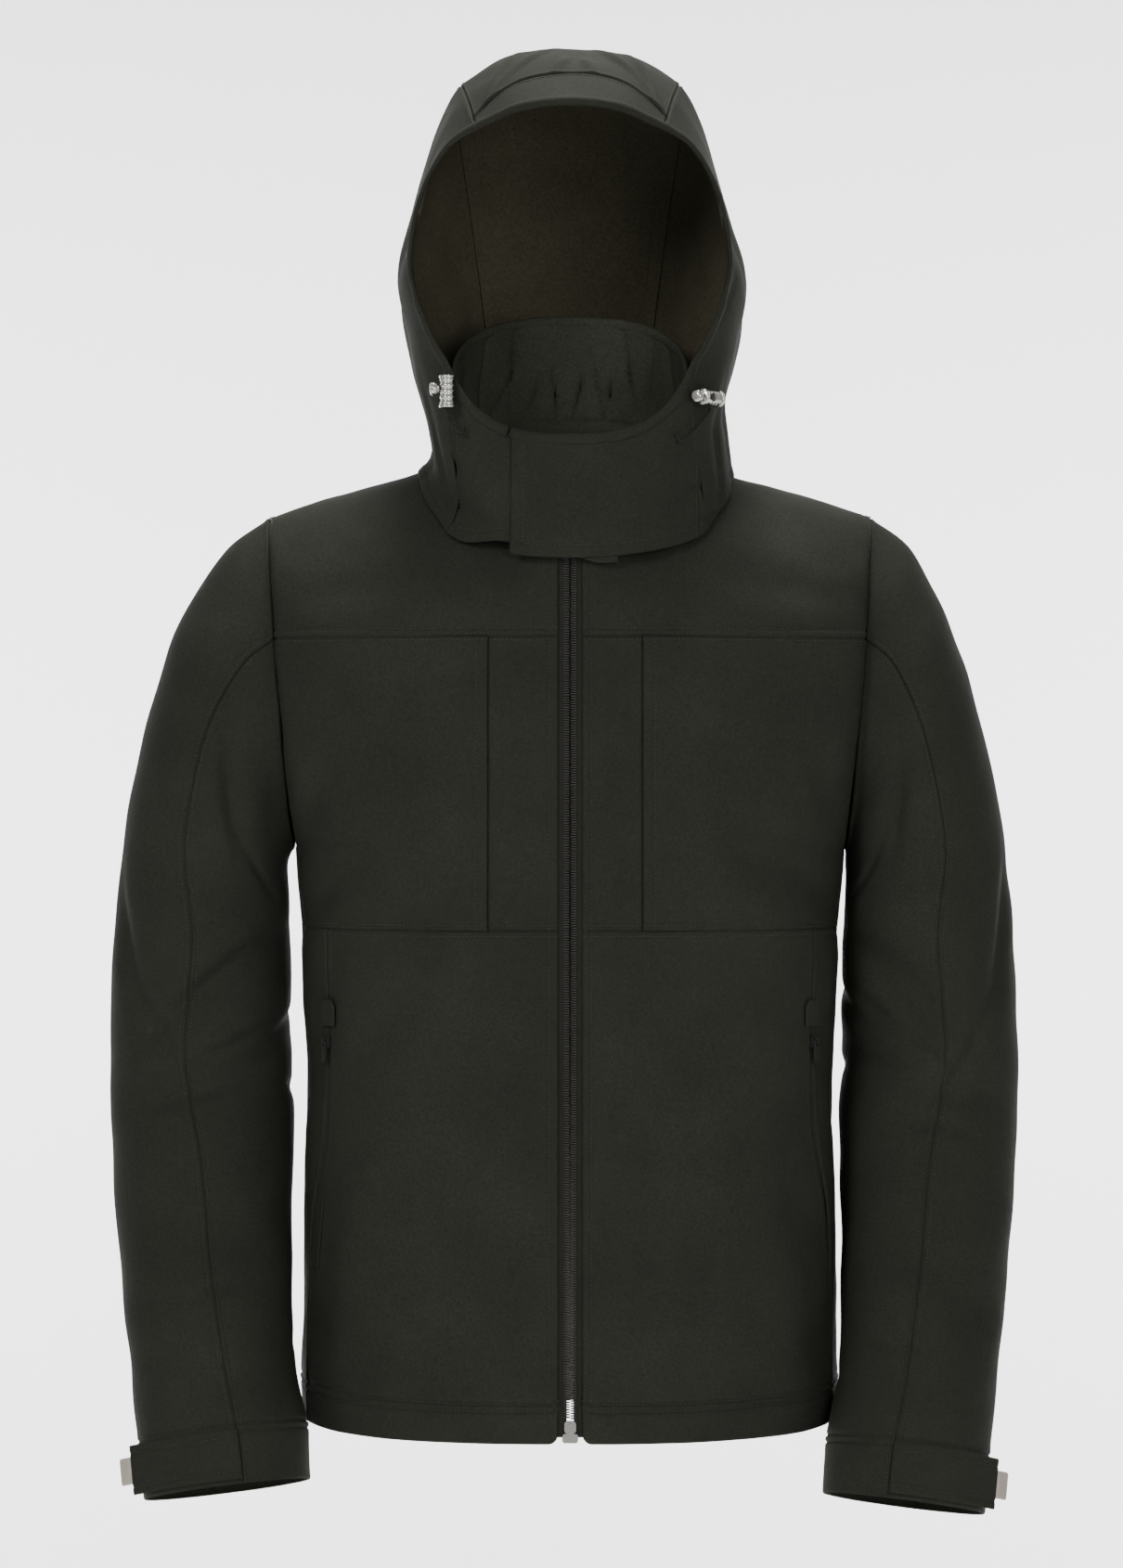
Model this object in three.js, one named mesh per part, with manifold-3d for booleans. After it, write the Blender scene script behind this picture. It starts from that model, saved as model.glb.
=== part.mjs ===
// Softshell jacket with a hood, filled out as if worn, with nobody in it.
// Millimetres. +Z is up, the front faces -Y and the wearer's left arm is at +X.
// The origin is the middle of the neck at the height of the shoulder line.
import * as THREE from "three";
import Module from "manifold-3d";

// Cloth and seams
const CLOTH = 1.5; // wall of the softshell cloth
const SEAM = 0.15; // each piece stops this far short of its seam line
const LAP = 0.4; // air between a piece and the one it lies on

// Body
const HEM_Z = -718;
const HEM_RISE = 7; // how far the hem climbs towards the sides
const HEM_CORNER = 7; // rounded lower corner beside the zip
const CHEST_SEAM_Z = -345;
const UNDERARM_Z = -285;
const YOKE_Z = -130;
const YOKE_SPAN = 100; // levels used for the shoulder zone above the yoke seam
const SIDE_Y = 6; // the body is widest here
const SQUARE = 2.5; // how square the body's cross-section is
const ZIP_EDGE = 9; // front edges either side of the zip
const POCKET_X = { left: 53, right: 60 }; // chest pocket openings
const POCKET_PROUD = 1.2; // the outer chest panel stands this much in front

// Neck and armholes
const NECK_X = 84;
const NECK_FRONT = { y: -104, z: -60 };
const NECK_SIDE = { y: 8, z: 2 };
const NECK_BACK = { y: 72, z: 24 };
const ARMHOLE = { x: 216.5, out: 9.5, z: -161, tall: 124, front: 62, back: 72 };
const ARM_SEAM = Math.acos((YOKE_Z - ARMHOLE.z) / ARMHOLE.tall) / (2 * Math.PI); // turn of the sleeve seams

// Cross-sections of the body: half width, depth in front and behind.
const bodyRows = [
  { z: -718, half: 202, front: 127, back: 112 },
  { z: -600, half: 201, front: 128, back: 106 },
  { z: -470, half: 199, front: 124, back: 98 },
  { z: -345, half: 203, front: 124, back: 108 },
  { z: -285, half: 207, front: 123, back: 116 },
  { z: -200, half: 213.5, front: 119, back: 118 },
  { z: -130, half: 219, front: 113, back: 114 },
];

// Height of the shoulder seam from the neck out to the sleeve.
const shoulderRows = [
  { x: 84, z: 2 },
  { x: 103, z: 0.7 },
  { x: 124, z: -7 },
  { x: 154, z: -15 },
  { x: 189, z: -24.5 },
  { x: 226, z: -37 },
];

// Side pocket seam: how far out it runs at each height.
const pocketRows = [
  { z: -718, x: 196 },
  { z: -620, x: 196 },
  { z: -590, x: 194.5 },
  { z: -550, x: 190.5 },
  { z: -525, x: 186 },
  { z: -495, x: 182 },
  { z: -460, x: 180.5 },
  { z: -345, x: 180.5 },
];

// Sleeve: outer and inner line, middle, depths and lean of the ring at each share of its length.
const sleeveRows = [
  { t: 0, outX: 226, outZ: -37, inX: 207, inZ: -285, midY: 6, front: 62, back: 72, lean: 0 },
  { t: 0.05, outX: 259, outZ: -62, inX: 209, inZ: -289, midY: 7, front: 68, back: 75, lean: 0 },
  { t: 0.12, outX: 292, outZ: -119, inX: 210.5, inZ: -297, midY: 9, front: 76, back: 80, lean: 0 },
  { t: 0.2, outX: 312, outZ: -180, inX: 211, inZ: -309, midY: 11, front: 77, back: 80, lean: 0 },
  { t: 0.29, outX: 329, outZ: -252, inX: 210.5, inZ: -325, midY: 13, front: 75, back: 77, lean: 0 },
  { t: 0.4, outX: 339.5, outZ: -340, inX: 209, inZ: -358, midY: 16, front: 72, back: 73, lean: 0 },
  { t: 0.52, outX: 344, outZ: -440, inX: 207.5, inZ: -440, midY: 18, front: 70, back: 71, lean: 0 },
  { t: 0.64, outX: 341, outZ: -520, inX: 206.5, inZ: -518, midY: 9, front: 67, back: 68, lean: 0.1 },
  { t: 0.76, outX: 333, outZ: -600, inX: 206.5, inZ: -594, midY: -13, front: 63, back: 65, lean: 0.15 },
  { t: 0.87, outX: 322, outZ: -672, inX: 202, inZ: -662, midY: -46, front: 60, back: 62, lean: 0.18 },
  { t: 0.95, outX: 314, outZ: -724, inX: 192, inZ: -708, midY: -71, front: 58, back: 60, lean: 0.2 },
  { t: 1, outX: 309, outZ: -761, inX: 188, inZ: -745, midY: -84, front: 58, back: 60, lean: 0.2 },
];

// Where the front sleeve seam runs round the ring.
const frontSeamRows = [
  { t: 0, turn: ARM_SEAM },
  { t: 0.29, turn: 0.216 },
  { t: 0.4, turn: 0.244 },
  { t: 0.52, turn: 0.233 },
  { t: 0.64, turn: 0.258 },
  { t: 0.76, turn: 0.27 },
  { t: 0.87, turn: 0.282 },
  { t: 1, turn: 0.29 },
];
const BACK_SEAM = 1 - ARM_SEAM;

// The two arms differ a little: spread of the outer and inner line, and drop of the cuff.
const arms = {
  left: { side: 1, spreadOut: -4.5, spreadIn: -2.5, drop: 14.5 },
  right: { side: -1, spreadOut: 4.5, spreadIn: 2.5, drop: 4 },
};

const V = (x, y, z) => new THREE.Vector3(x, y, z);
const { lerp, clamp, smoothstep } = THREE.MathUtils;

// Reads one column of a table between its rows, along a smooth curve.
function along(rows, key, at, column) {
  const last = rows.length - 1;
  let i = 0;
  while (i < last - 1 && at > rows[i + 1][key]) i += 1;
  const a = rows[i];
  const b = rows[i + 1];
  const before = rows[Math.max(i - 1, 0)];
  const after = rows[Math.min(i + 2, last)];
  const span = b[key] - a[key];
  const f = clamp((at - a[key]) / span, 0, 1);
  const leave = ((b[column] - before[column]) / (b[key] - before[key])) * span;
  const arrive = ((after[column] - a[column]) / (after[key] - a[key])) * span;
  const rise = f * f * (3 - 2 * f);
  return (
    lerp(a[column], b[column], rise) +
    f * (1 - f) * ((1 - f) * leave - f * arrive)
  );
}

// Mirrors a point to the wearer's right when side is -1.
const toSide = (p, side) => V(p.x * side, p.y, p.z);

// Armhole edge; turn 0 is the shoulder point, 0.25 the front, 0.5 the underarm.
function armhole(turn) {
  const a = turn * 2 * Math.PI;
  const depth = Math.sin(a) > 0 ? ARMHOLE.front : ARMHOLE.back;
  return V(
    ARMHOLE.x + ARMHOLE.out * Math.cos(a),
    SIDE_Y - depth * Math.sin(a),
    ARMHOLE.z + ARMHOLE.tall * Math.cos(a),
  );
}

// Turn of the armhole at a height below the yoke seam or a level above it.
function armholeTurn(level) {
  if (level > YOKE_Z) return ARM_SEAM * (1 - (level - YOKE_Z) / YOKE_SPAN);
  const cosine = clamp((level - ARMHOLE.z) / ARMHOLE.tall, -1, 1);
  return Math.acos(cosine) / (2 * Math.PI);
}

const armholeAt = (isFront, level) =>
  armhole(isFront ? armholeTurn(level) : 1 - armholeTurn(level));

// Share w of the quarter ring that lies x millimetres from the middle.
const shareAt = (x, z) =>
  (2 / Math.PI) *
  Math.asin(clamp(x / along(bodyRows, "z", z, "half"), 0, 1) ** (SQUARE / 2));

// Quarter of the body's cross-section, w 0 in the middle to 1 at the side.
function bodyRing(isFront, w, z) {
  const turn = clamp(w, 0, 1) * (Math.PI / 2);
  const half = along(bodyRows, "z", z, "half");
  const depth = along(bodyRows, "z", z, isFront ? "front" : "back");
  const out = Math.max(Math.cos(turn), 0) ** (2 / SQUARE);
  const p = V(
    half * Math.sin(turn) ** (2 / SQUARE),
    lerp(SIDE_Y, isFront ? -depth : depth, out),
    z,
  );
  if (z <= UNDERARM_Z) return p;
  const shift = armholeAt(isFront, z).sub(V(half, SIDE_Y, z));
  return p.addScaledVector(shift, clamp(w, 0, 1) ** 3);
}

// Neck edge and shoulder seam, where the shoulder zone ends.
const NECK_SHARE = shareAt(NECK_X, YOKE_Z);
function neckEdge(isFront, across) {
  const q = Math.asin(clamp(across / NECK_X, 0, 1));
  const end = isFront ? NECK_FRONT : NECK_BACK;
  return V(
    across,
    lerp(NECK_SIDE.y, end.y, Math.cos(q)),
    lerp(NECK_SIDE.z, end.z, Math.cos(q)),
  );
}

function topEdge(isFront, w) {
  const half = along(bodyRows, "z", YOKE_Z, "half");
  const reach = half * Math.sin((clamp(w, 0, 1) * Math.PI) / 2) ** (2 / SQUARE);
  if (w <= NECK_SHARE) return neckEdge(isFront, Math.min(reach, NECK_X));
  const f = (reach - NECK_X) / (half - NECK_X);
  const x = lerp(NECK_X, ARMHOLE.x + ARMHOLE.out, f);
  return V(x, lerp(NECK_SIDE.y, SIDE_Y, f), along(shoulderRows, "x", x, "z"));
}

// Shoulder zone, s 0 at the yoke seam to 1 at the neck or the shoulder seam.
function shoulderCurve(isFront, w, s) {
  const low = bodyRing(isFront, w, YOKE_Z);
  const high = topEdge(isFront, w);
  const tall = high.z - low.z;
  const deep = high.y - low.y;
  const level = Math.min(w / NECK_SHARE, 1) ** 1.5 * (Math.PI / 2);
  const lift = low.clone().add(V(0, 0.05 * deep, 0.45 * tall));
  const arrive = high
    .clone()
    .sub(V(0, deep * (0.45 * Math.sin(level) + 0.25 * Math.cos(level)), 0.4 * tall * Math.cos(level)));
  const r = 1 - s;
  return low
    .multiplyScalar(r * r * r)
    .addScaledVector(lift, 3 * r * r * s)
    .addScaledVector(arrive, 3 * r * s * s)
    .addScaledVector(high, s * s * s);
}

// The whole body: level is the height up to the yoke seam, then counts on to the top edge.
function body(isFront, w, level) {
  if (level <= YOKE_Z) return bodyRing(isFront, w, level);
  const s = (level - YOKE_Z) / YOKE_SPAN;
  const p = shoulderCurve(isFront, w, s);
  const shift = armholeAt(isFront, level).sub(shoulderCurve(isFront, 1, s));
  return p.addScaledVector(shift, clamp(w, 0, 1) ** 3);
}

// The hem climbs towards the sides and rounds off beside the zip.
function hemLift(isFront, w, z) {
  const share = clamp((CHEST_SEAM_Z - z) / (CHEST_SEAM_Z - HEM_Z), 0, 1);
  const x = 202 * Math.sin((w * Math.PI) / 2) ** (2 / SQUARE);
  const near = isFront ? 1 - clamp((x - ZIP_EDGE) / HEM_CORNER, 0, 1) : 0;
  const corner = HEM_CORNER * (1 - Math.sqrt(1 - near * near)) * share ** 12;
  return HEM_RISE * w * w * share + corner;
}

// Soft troughs laid over a piece: place, tilt in degrees, half length, half width and depth.
function troughs(rows, a, b) {
  let height = 0;
  for (const row of rows) {
    const tilt = THREE.MathUtils.degToRad(row.tilt);
    const run = (a - row.a) * Math.cos(tilt) + (b - row.b) * Math.sin(tilt);
    const off = (b - row.b) * Math.cos(tilt) - (a - row.a) * Math.sin(tilt);
    height -= row.depth * Math.exp(-((run / row.long) ** 2) - (off / row.wide) ** 2);
  }
  return height;
}

// Sleeve folds, in millimetres round the ring (a) and down the arm (b) from the shoulder point.
const sleeveFolds = [
  { a: 60, b: 350, tilt: 62, long: 70, wide: 13, depth: 5 },
  { a: 135, b: 335, tilt: -38, long: 62, wide: 14, depth: 5.5 },
  { a: 170, b: 395, tilt: -20, long: 55, wide: 14, depth: 4.5 },
  { a: 95, b: 420, tilt: -12, long: 60, wide: 15, depth: 3.5 },
  { a: 330, b: 375, tilt: 25, long: 60, wide: 15, depth: 4.5 },
  { a: 285, b: 425, tilt: 12, long: 55, wide: 14, depth: 4 },
  { a: 120, b: 110, tilt: 70, long: 70, wide: 18, depth: 4 },
  { a: 300, b: 120, tilt: -68, long: 70, wide: 18, depth: 4 },
  { a: 140, b: 560, tilt: -25, long: 60, wide: 16, depth: 3 },
  { a: 60, b: 610, tilt: 15, long: 50, wide: 15, depth: 2.5 },
  { a: 300, b: 580, tilt: 20, long: 60, wide: 16, depth: 3 },
];
const SLEEVE_ROUND = 430;
const SLEEVE_LONG = 760;

// Sleeve ring by its turn, at a share t of the sleeve's length.
function sleeve(arm, turn, t) {
  const row = (column) => along(sleeveRows, "t", t, column);
  const set = smoothstep(t, 0, 0.15);
  const sag = arm.drop * t * t;
  const outer = V(row("outX") + arm.spreadOut * set, 0, row("outZ") - sag);
  const inner = V(row("inX") + arm.spreadIn * set, 0, row("inZ") - sag);
  const a = turn * 2 * Math.PI;
  const depth = Math.sin(a) > 0 ? row("front") : row("back");
  const middle = outer.clone().add(inner).multiplyScalar(0.5);
  const reach = outer.sub(inner).multiplyScalar(0.5);
  const p = middle.addScaledVector(reach, Math.cos(a));
  p.y += row("midY") - depth * Math.sin(a);
  p.z += row("lean") * depth * Math.sin(a);
  return toSide(p, arm.side);
}

const frontSeam = (t) => along(frontSeamRows, "t", t, "turn");

// Hood: its lower edge lies on the shoulders; the ribs run up from it to the crown.
const hoodRows = [
  { u: 0, share: 0.217, over: -58, crownY: -112, crownZ: 262, cheek: 0.95, top: 0.8 },
  { u: 0.2, share: 0.27, over: -37, crownY: -55, crownZ: 300, cheek: 0.99, top: 0.92 },
  { u: 0.45, share: 0.288, over: -2, crownY: 12, crownZ: 316, cheek: 1, top: 1 },
  { u: 0.65, share: 0.262, over: 10, crownY: 92, crownZ: 290, cheek: 0.95, top: 0.97 },
  { u: 0.8, share: 0.225, over: 14, crownY: 143, crownZ: 215, cheek: 0.8, top: 0.86 },
  { u: 0.92, share: 0.165, over: 13, crownY: 150, crownZ: 110, cheek: 0.6, top: 0.72 },
  { u: 1, share: 0.12, over: 11, crownY: 79, crownZ: 7, cheek: 0.4, top: 0.58 },
];
const HOOD_FOOT_X = 115;
const HOOD_LIFT = 2.2; // the hood's lower edge stands this far off the shoulders

// Outline of the hood seen from the front: f 0 at the shoulder, 1 at the crown.
const outlineRows = [
  { f: 0, x: 115, h: 0 },
  { f: 0.05, x: 112.5, h: 0.035 },
  { f: 0.15, x: 113, h: 0.15 },
  { f: 0.25, x: 120, h: 0.25 },
  { f: 0.37, x: 128.5, h: 0.4 },
  { f: 0.48, x: 129, h: 0.49 },
  { f: 0.57, x: 122.5, h: 0.575 },
  { f: 0.68, x: 112, h: 0.7 },
  { f: 0.77, x: 99, h: 0.83 },
  { f: 0.83, x: 84, h: 0.915 },
  { f: 0.91, x: 50, h: 0.97 },
  { f: 1, x: 0, h: 1 },
];

// Edge of the face opening above the chin piece.
const rimRows = [
  { f: 0.32, x: 88, y: -98, z: 69 },
  { f: 0.37, x: 97.5, y: -90, z: 84 },
  { f: 0.43, x: 106, y: -84, z: 101 },
  { f: 0.48, x: 112.5, y: -80, z: 118 },
  { f: 0.57, x: 119.5, y: -72, z: 148 },
  { f: 0.68, x: 111, y: -80, z: 195 },
  { f: 0.77, x: 91, y: -95, z: 228 },
  { f: 0.83, x: 68, y: -105, z: 241 },
  { f: 0.91, x: 36, y: -114, z: 251 },
  { f: 1, x: 0, y: -118, z: 257 },
];
const CHIN_TOP = 0.32; // the chin piece meets the hood below this
const CENTRE_SEAM = 0.83; // seam between the side and the centre panel of the hood
const RIM_BLEND = 0.4;

// How far each side of the hood leans out, and the left cheek alone behind the rolled edge.
const leanRows = [
  { f: 0, left: 9, right: 0, cheek: 0 },
  { f: 0.05, left: 9, right: -8, cheek: 0 },
  { f: 0.1, left: 7, right: -6, cheek: 0 },
  { f: 0.17, left: 2, right: -2, cheek: 1 },
  { f: 0.3, left: 0, right: 0, cheek: 4.5 },
  { f: 0.45, left: 0, right: 0, cheek: 2.5 },
  { f: 0.57, left: 0, right: 0, cheek: 0 },
];
const FOOT_SLOPE = 0.33; // fall of the shoulder under the hood's foot
const CROWN_SOFT = 0.06; // share over which the crown rounds off across the middle

// Chin piece: middle of its lower and upper edge, and the upper corner at its side.
const CHIN_ARC = Math.PI / 3;
const CHIN_LOW = { y: -113, z: -73 };
const CHIN_HIGH = { y: -113, z: 18 };
const CHIN_SIDE = { x: 88, y: -98, z: 69 };

// Unit normal of a surface, from four nearby points.
function normalOf(at, u, v, du, dv, limits) {
  const [u0, u1, v0, v1] = limits;
  const a = at(Math.min(u + du, u1), v).sub(at(Math.max(u - du, u0), v));
  const b = at(u, Math.min(v + dv, v1)).sub(at(u, Math.max(v - dv, v0)));
  return a.cross(b).normalize();
}

// Foot of the hood on the shoulders, by the share u from its front to its back.
function hoodFoot(u) {
  const row = (column) => along(hoodRows, "u", u, column);
  const over = row("over");
  const level = YOKE_Z + YOKE_SPAN - Math.abs(over);
  const at = (w, z) => body(over < 0, w, z);
  const n = normalOf(at, row("share"), level, 1e-3, 0.5, [0, 1, YOKE_Z, YOKE_Z + YOKE_SPAN]);
  if (n.z < 0) n.negate();
  return at(row("share"), level).addScaledVector(n, HOOD_LIFT);
}

function chin(s, v) {
  const a = s * CHIN_ARC;
  const bow = (1 - Math.cos(a)) / (1 - Math.cos(CHIN_ARC));
  const wide = Math.sin(a) / Math.sin(CHIN_ARC);
  const corner = hoodFoot(0);
  const low = V(
    corner.x * wide,
    lerp(CHIN_LOW.y, corner.y, bow),
    lerp(CHIN_LOW.z, corner.z, Math.abs(s) ** 2.1),
  );
  const high = V(
    CHIN_SIDE.x * wide,
    lerp(CHIN_HIGH.y, CHIN_SIDE.y, bow),
    lerp(CHIN_HIGH.z, CHIN_SIDE.z, Math.abs(s) ** 2.6),
  );
  const lean = along(leanRows, "f", Math.max(v, 0) * CHIN_TOP, s < 0 ? "right" : "left");
  return low.lerp(high, v).add(V(Math.sign(s) * lean * smoothstep(Math.abs(s), 0.3, 1), 0, 0));
}

// Share of the height that rounds the crown off, so that it has no ridge in the middle.
function crownward(f) {
  const d = Math.abs(1 - f);
  const fade = 1 - smoothstep(d, CROWN_SOFT, 0.15);
  return 1 - (d < CROWN_SOFT ? (d * d) / (2 * CROWN_SOFT) : d - (CROWN_SOFT / 2) * fade);
}

function rim(f) {
  if (f <= CHIN_TOP) {
    const lean = along(leanRows, "f", f, "left");
    return chin(1, f / CHIN_TOP).sub(V(lean, 0, 0));
  }
  const row = (column, at) => along(rimRows, "f", at, column);
  return V(row("x", f), row("y", crownward(f)), row("z", crownward(f)));
}

function hoodRib(f, u) {
  const row = (column) => along(hoodRows, "u", u, column);
  const foot = hoodFoot(u);
  const h = along(outlineRows, "f", crownward(f), "h");
  const low = lerp(foot.x / HOOD_FOOT_X, row("cheek"), smoothstep(f, 0, 0.35));
  const size = lerp(low, row("top"), smoothstep(f, 0.35, CENTRE_SEAM));
  return V(
    along(outlineRows, "f", f, "x") * size,
    lerp(foot.y, row("crownY"), h),
    lerp(foot.z, row("crownZ"), h),
  );
}

// Hood surface; f beyond 1 comes down the other side.
function hood(f, u) {
  const near = f > 1 ? 2 - f : f;
  const p = hoodRib(near, u);
  const fade = (1 - Math.min(u / RIM_BLEND, 1)) ** 2;
  if (fade > 0) p.addScaledVector(rim(near).sub(hoodRib(near, 0)), fade);
  const lean = (column) => along(leanRows, "f", near, column);
  const out = f > 1 ? lean("right") : lean("left") + lean("cheek") * smoothstep(u, 0, 0.3);
  const still = 1 - smoothstep(u, 0.6, 0.85);
  p.x += out * still;
  p.z -= out * still * FOOT_SLOPE * smoothstep(u, 0, 0.25) * (1 - smoothstep(near, 0, 0.1));
  return f > 1 ? toSide(p, -1) : p;
}

// Collar inside the hood: its lower edge is the neck edge; gathers stand in its back half.
const COLLAR_WALL = 2;
const COLLAR_TOP = { x: 88, frontY: -94, backY: 74, frontZ: 8, rise: 114 };
const GATHERS = 8;
const GATHER_DEEP = 2.2;
function collar(turn, v) {
  const side = Math.sign(turn) || 1;
  const a = Math.abs(turn) * Math.PI;
  const low = neckEdge(a < Math.PI / 2, NECK_X * Math.sin(a));
  const tall = ((1 - Math.cos(a)) / 2) ** 0.75;
  const high = V(
    COLLAR_TOP.x * Math.sin(a) ** 0.75,
    lerp(COLLAR_TOP.frontY, COLLAR_TOP.backY, (1 - Math.cos(a)) / 2),
    COLLAR_TOP.frontZ + COLLAR_TOP.rise * tall,
  );
  return toSide(low.lerp(high, v), side);
}

const gathers = (turn, v) =>
  GATHER_DEEP *
  Math.cos((1 - Math.abs(turn)) * 2 * Math.PI * GATHERS) *
  smoothstep(Math.abs(turn), 0.45, 0.65) *
  Math.sin(Math.PI * clamp(v, 0, 1)) ** 0.8;

// Looks
const look = (color, roughness, metalness = 0) =>
  new THREE.MeshStandardMaterial({ color, roughness, metalness });
const softshell = look(0x2b2b28, 0.85);
const softshellTop = look(0x31312e, 0.82);
const innerCloth = look(0x23231f, 0.9);
const tapeCloth = look(0x1d1d1b, 0.9);
const blackNylon = look(0x191918, 0.55);
const greyRubber = look(0xa8a196, 0.7);
const silver = look(0xc9c8c2, 0.28, 1);

const jacket = new THREE.Group();
jacket.name = "softshell_jacket";

// Adds one closed body; faces are turned outwards when its volume comes out negative.
function addBody(name, material, points, faces) {
  let volume = 0;
  for (const [i, j, k] of faces)
    volume += points[i].dot(points[j].clone().cross(points[k]));
  const index = faces.flatMap(([i, j, k]) => (volume < 0 ? [i, k, j] : [i, j, k]));
  const geometry = new THREE.BufferGeometry();
  geometry.setAttribute(
    "position",
    new THREE.Float32BufferAttribute(points.flatMap((p) => [p.x, p.y, p.z]), 3),
  );
  geometry.setIndex(index);
  geometry.computeVertexNormals();
  const mesh = new THREE.Mesh(geometry, material);
  mesh.name = name;
  jacket.add(mesh);
  return mesh;
}

// A cloth piece: its surface over two lists of parameters, with a wall on the inner side.
// inside is a point the outer face looks away from; height raises the surface;
// trim is how far each edge stops short; lean turns the wall at a seam with a bend.
function addShell(name, material, at, us, vs, options = {}) {
  const { inside = V(0, 0, 0), wall = CLOTH, height, trim = {}, lean } = options;
  const limits = [us[0], us.at(-1), vs[0], vs.at(-1)];
  const du = (limits[1] - limits[0]) * 1e-3;
  const dv = (limits[3] - limits[2]) * 1e-3;
  const normal = (u, v) => normalOf(at, u, v, du, dv, limits);
  let sum = 0;
  for (const u of us)
    for (const v of vs) sum += normal(u, v).dot(at(u, v).sub(inside));
  const sense = Math.sign(sum);
  const cut = (side, u, v) => {
    const value = trim[side] ?? SEAM;
    return typeof value === "function" ? value(u, v) : value;
  };
  const move = (u, v, alongU, distance) => {
    const sign = Math.sign(distance);
    let left = Math.abs(distance);
    const spot = [u, v];
    const e = alongU ? du : dv;
    while (left > 1e-6) {
      const stride = Math.min(left, 1);
      const ahead = alongU ? at(spot[0] + sign * e, spot[1]) : at(spot[0], spot[1] + sign * e);
      spot[alongU ? 0 : 1] += (sign * stride * e) / ahead.distanceTo(at(...spot));
      left -= stride;
    }
    return spot;
  };
  const outer = [];
  const inner = [];
  us.forEach((u0, i) =>
    vs.forEach((v0, j) => {
      let u = u0;
      let v = v0;
      if (i === 0) [u, v] = move(u, v, true, cut("u0", u0, v0));
      if (i === us.length - 1) [u, v] = move(u, v, true, -cut("u1", u0, v0));
      if (j === 0) [u, v] = move(u, v, false, cut("v0", u0, v0));
      if (j === vs.length - 1) [u, v] = move(u, v, false, -cut("v1", u0, v0));
      const n = normal(u, v).multiplyScalar(sense);
      const p = at(u, v).addScaledVector(n, height ? height(u, v) : 0);
      const back = lean ? lean(p, n.clone(), i, j) : n;
      outer.push(p);
      inner.push(p.clone().addScaledVector(back, -wall));
    }),
  );
  const rows = vs.length;
  const total = outer.length;
  const faces = [];
  const quad = (a, b, c, d) => faces.push([a, b, c], [a, c, d]);
  for (let i = 0; i < us.length - 1; i += 1)
    for (let j = 0; j < rows - 1; j += 1) {
      const a = i * rows + j;
      quad(a, a + rows, a + rows + 1, a + 1);
      quad(total + a, total + a + 1, total + a + rows + 1, total + a + rows);
    }
  const rimOf = [];
  for (let i = 0; i < us.length - 1; i += 1) rimOf.push(i * rows);
  for (let j = 0; j < rows - 1; j += 1) rimOf.push((us.length - 1) * rows + j);
  for (let i = us.length - 1; i > 0; i -= 1) rimOf.push(i * rows + rows - 1);
  for (let j = rows - 1; j > 0; j -= 1) rimOf.push(j);
  rimOf.forEach((a, k) => {
    const b = rimOf[(k + 1) % rimOf.length];
    quad(b, a, total + a, total + b);
  });
  return addBody(name, material, outer.concat(inner), faces);
}

// A closed body through a row of rings with the same number of points.
function addLoft(name, material, rings) {
  const count = rings[0].length;
  const points = rings.flat();
  const faces = [];
  for (let i = 0; i < rings.length - 1; i += 1)
    for (let j = 0; j < count; j += 1) {
      const k = (j + 1) % count;
      const a = i * count;
      faces.push([a + j, a + k, a + count + k], [a + j, a + count + k, a + count + j]);
    }
  const last = (rings.length - 1) * count;
  for (let j = 1; j < count - 1; j += 1)
    faces.push([0, j + 1, j], [last, last + j, last + j + 1]);
  return addBody(name, material, points, faces);
}

// Ring of an oval section in a frame.
const ovalRing = (middle, right, out, halfWide, halfThick, count) =>
  Array.from({ length: count }, (_, k) => {
    const a = (k * 2 * Math.PI) / count;
    return middle
      .clone()
      .addScaledVector(right, halfWide * Math.cos(a))
      .addScaledVector(out, halfThick * Math.sin(a));
  });

const steps = (from, to, count) =>
  Array.from({ length: count + 1 }, (_, k) => from + ((to - from) * k) / count);

// Body pieces
const zipShare = (z) => shareAt(ZIP_EDGE, Math.min(z, YOKE_Z));
const pocketX = (z) => along(pocketRows, "z", z, "x");
const POCKET_ZIP = { top: -417, foot: -590, gap: 2.5 };
const pocketGap = (z) =>
  POCKET_ZIP.gap *
  smoothstep(z, POCKET_ZIP.foot - 10, POCKET_ZIP.foot) *
  (1 - smoothstep(z, POCKET_ZIP.top, POCKET_ZIP.top + 8));

const bodyPanel = (isFront, side, from, to) => (u, z) => {
  const w = lerp(from(z), to(z), u);
  const p = body(isFront, w, z);
  p.z += hemLift(isFront, w, z);
  return toSide(p, side);
};

// At the armhole the wall leans into the plane of the ring, so it clears the sleeve's wall.
function armholeLean(p, n) {
  const ray = V(0, p.y - SIDE_Y, p.z - ARMHOLE.z).normalize();
  return n.lerp(ray, smoothstep(n.dot(ray), 0.1, 0.6)).normalize();
}

const bodyLean = (us, vs, atEnds) => (p, n, i, j) => {
  const edge = i === us.length - 1 || (atEnds && i === 0);
  return edge && vs[j] > UNDERARM_Z - 1 ? armholeLean(p, n) : n;
};

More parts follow.
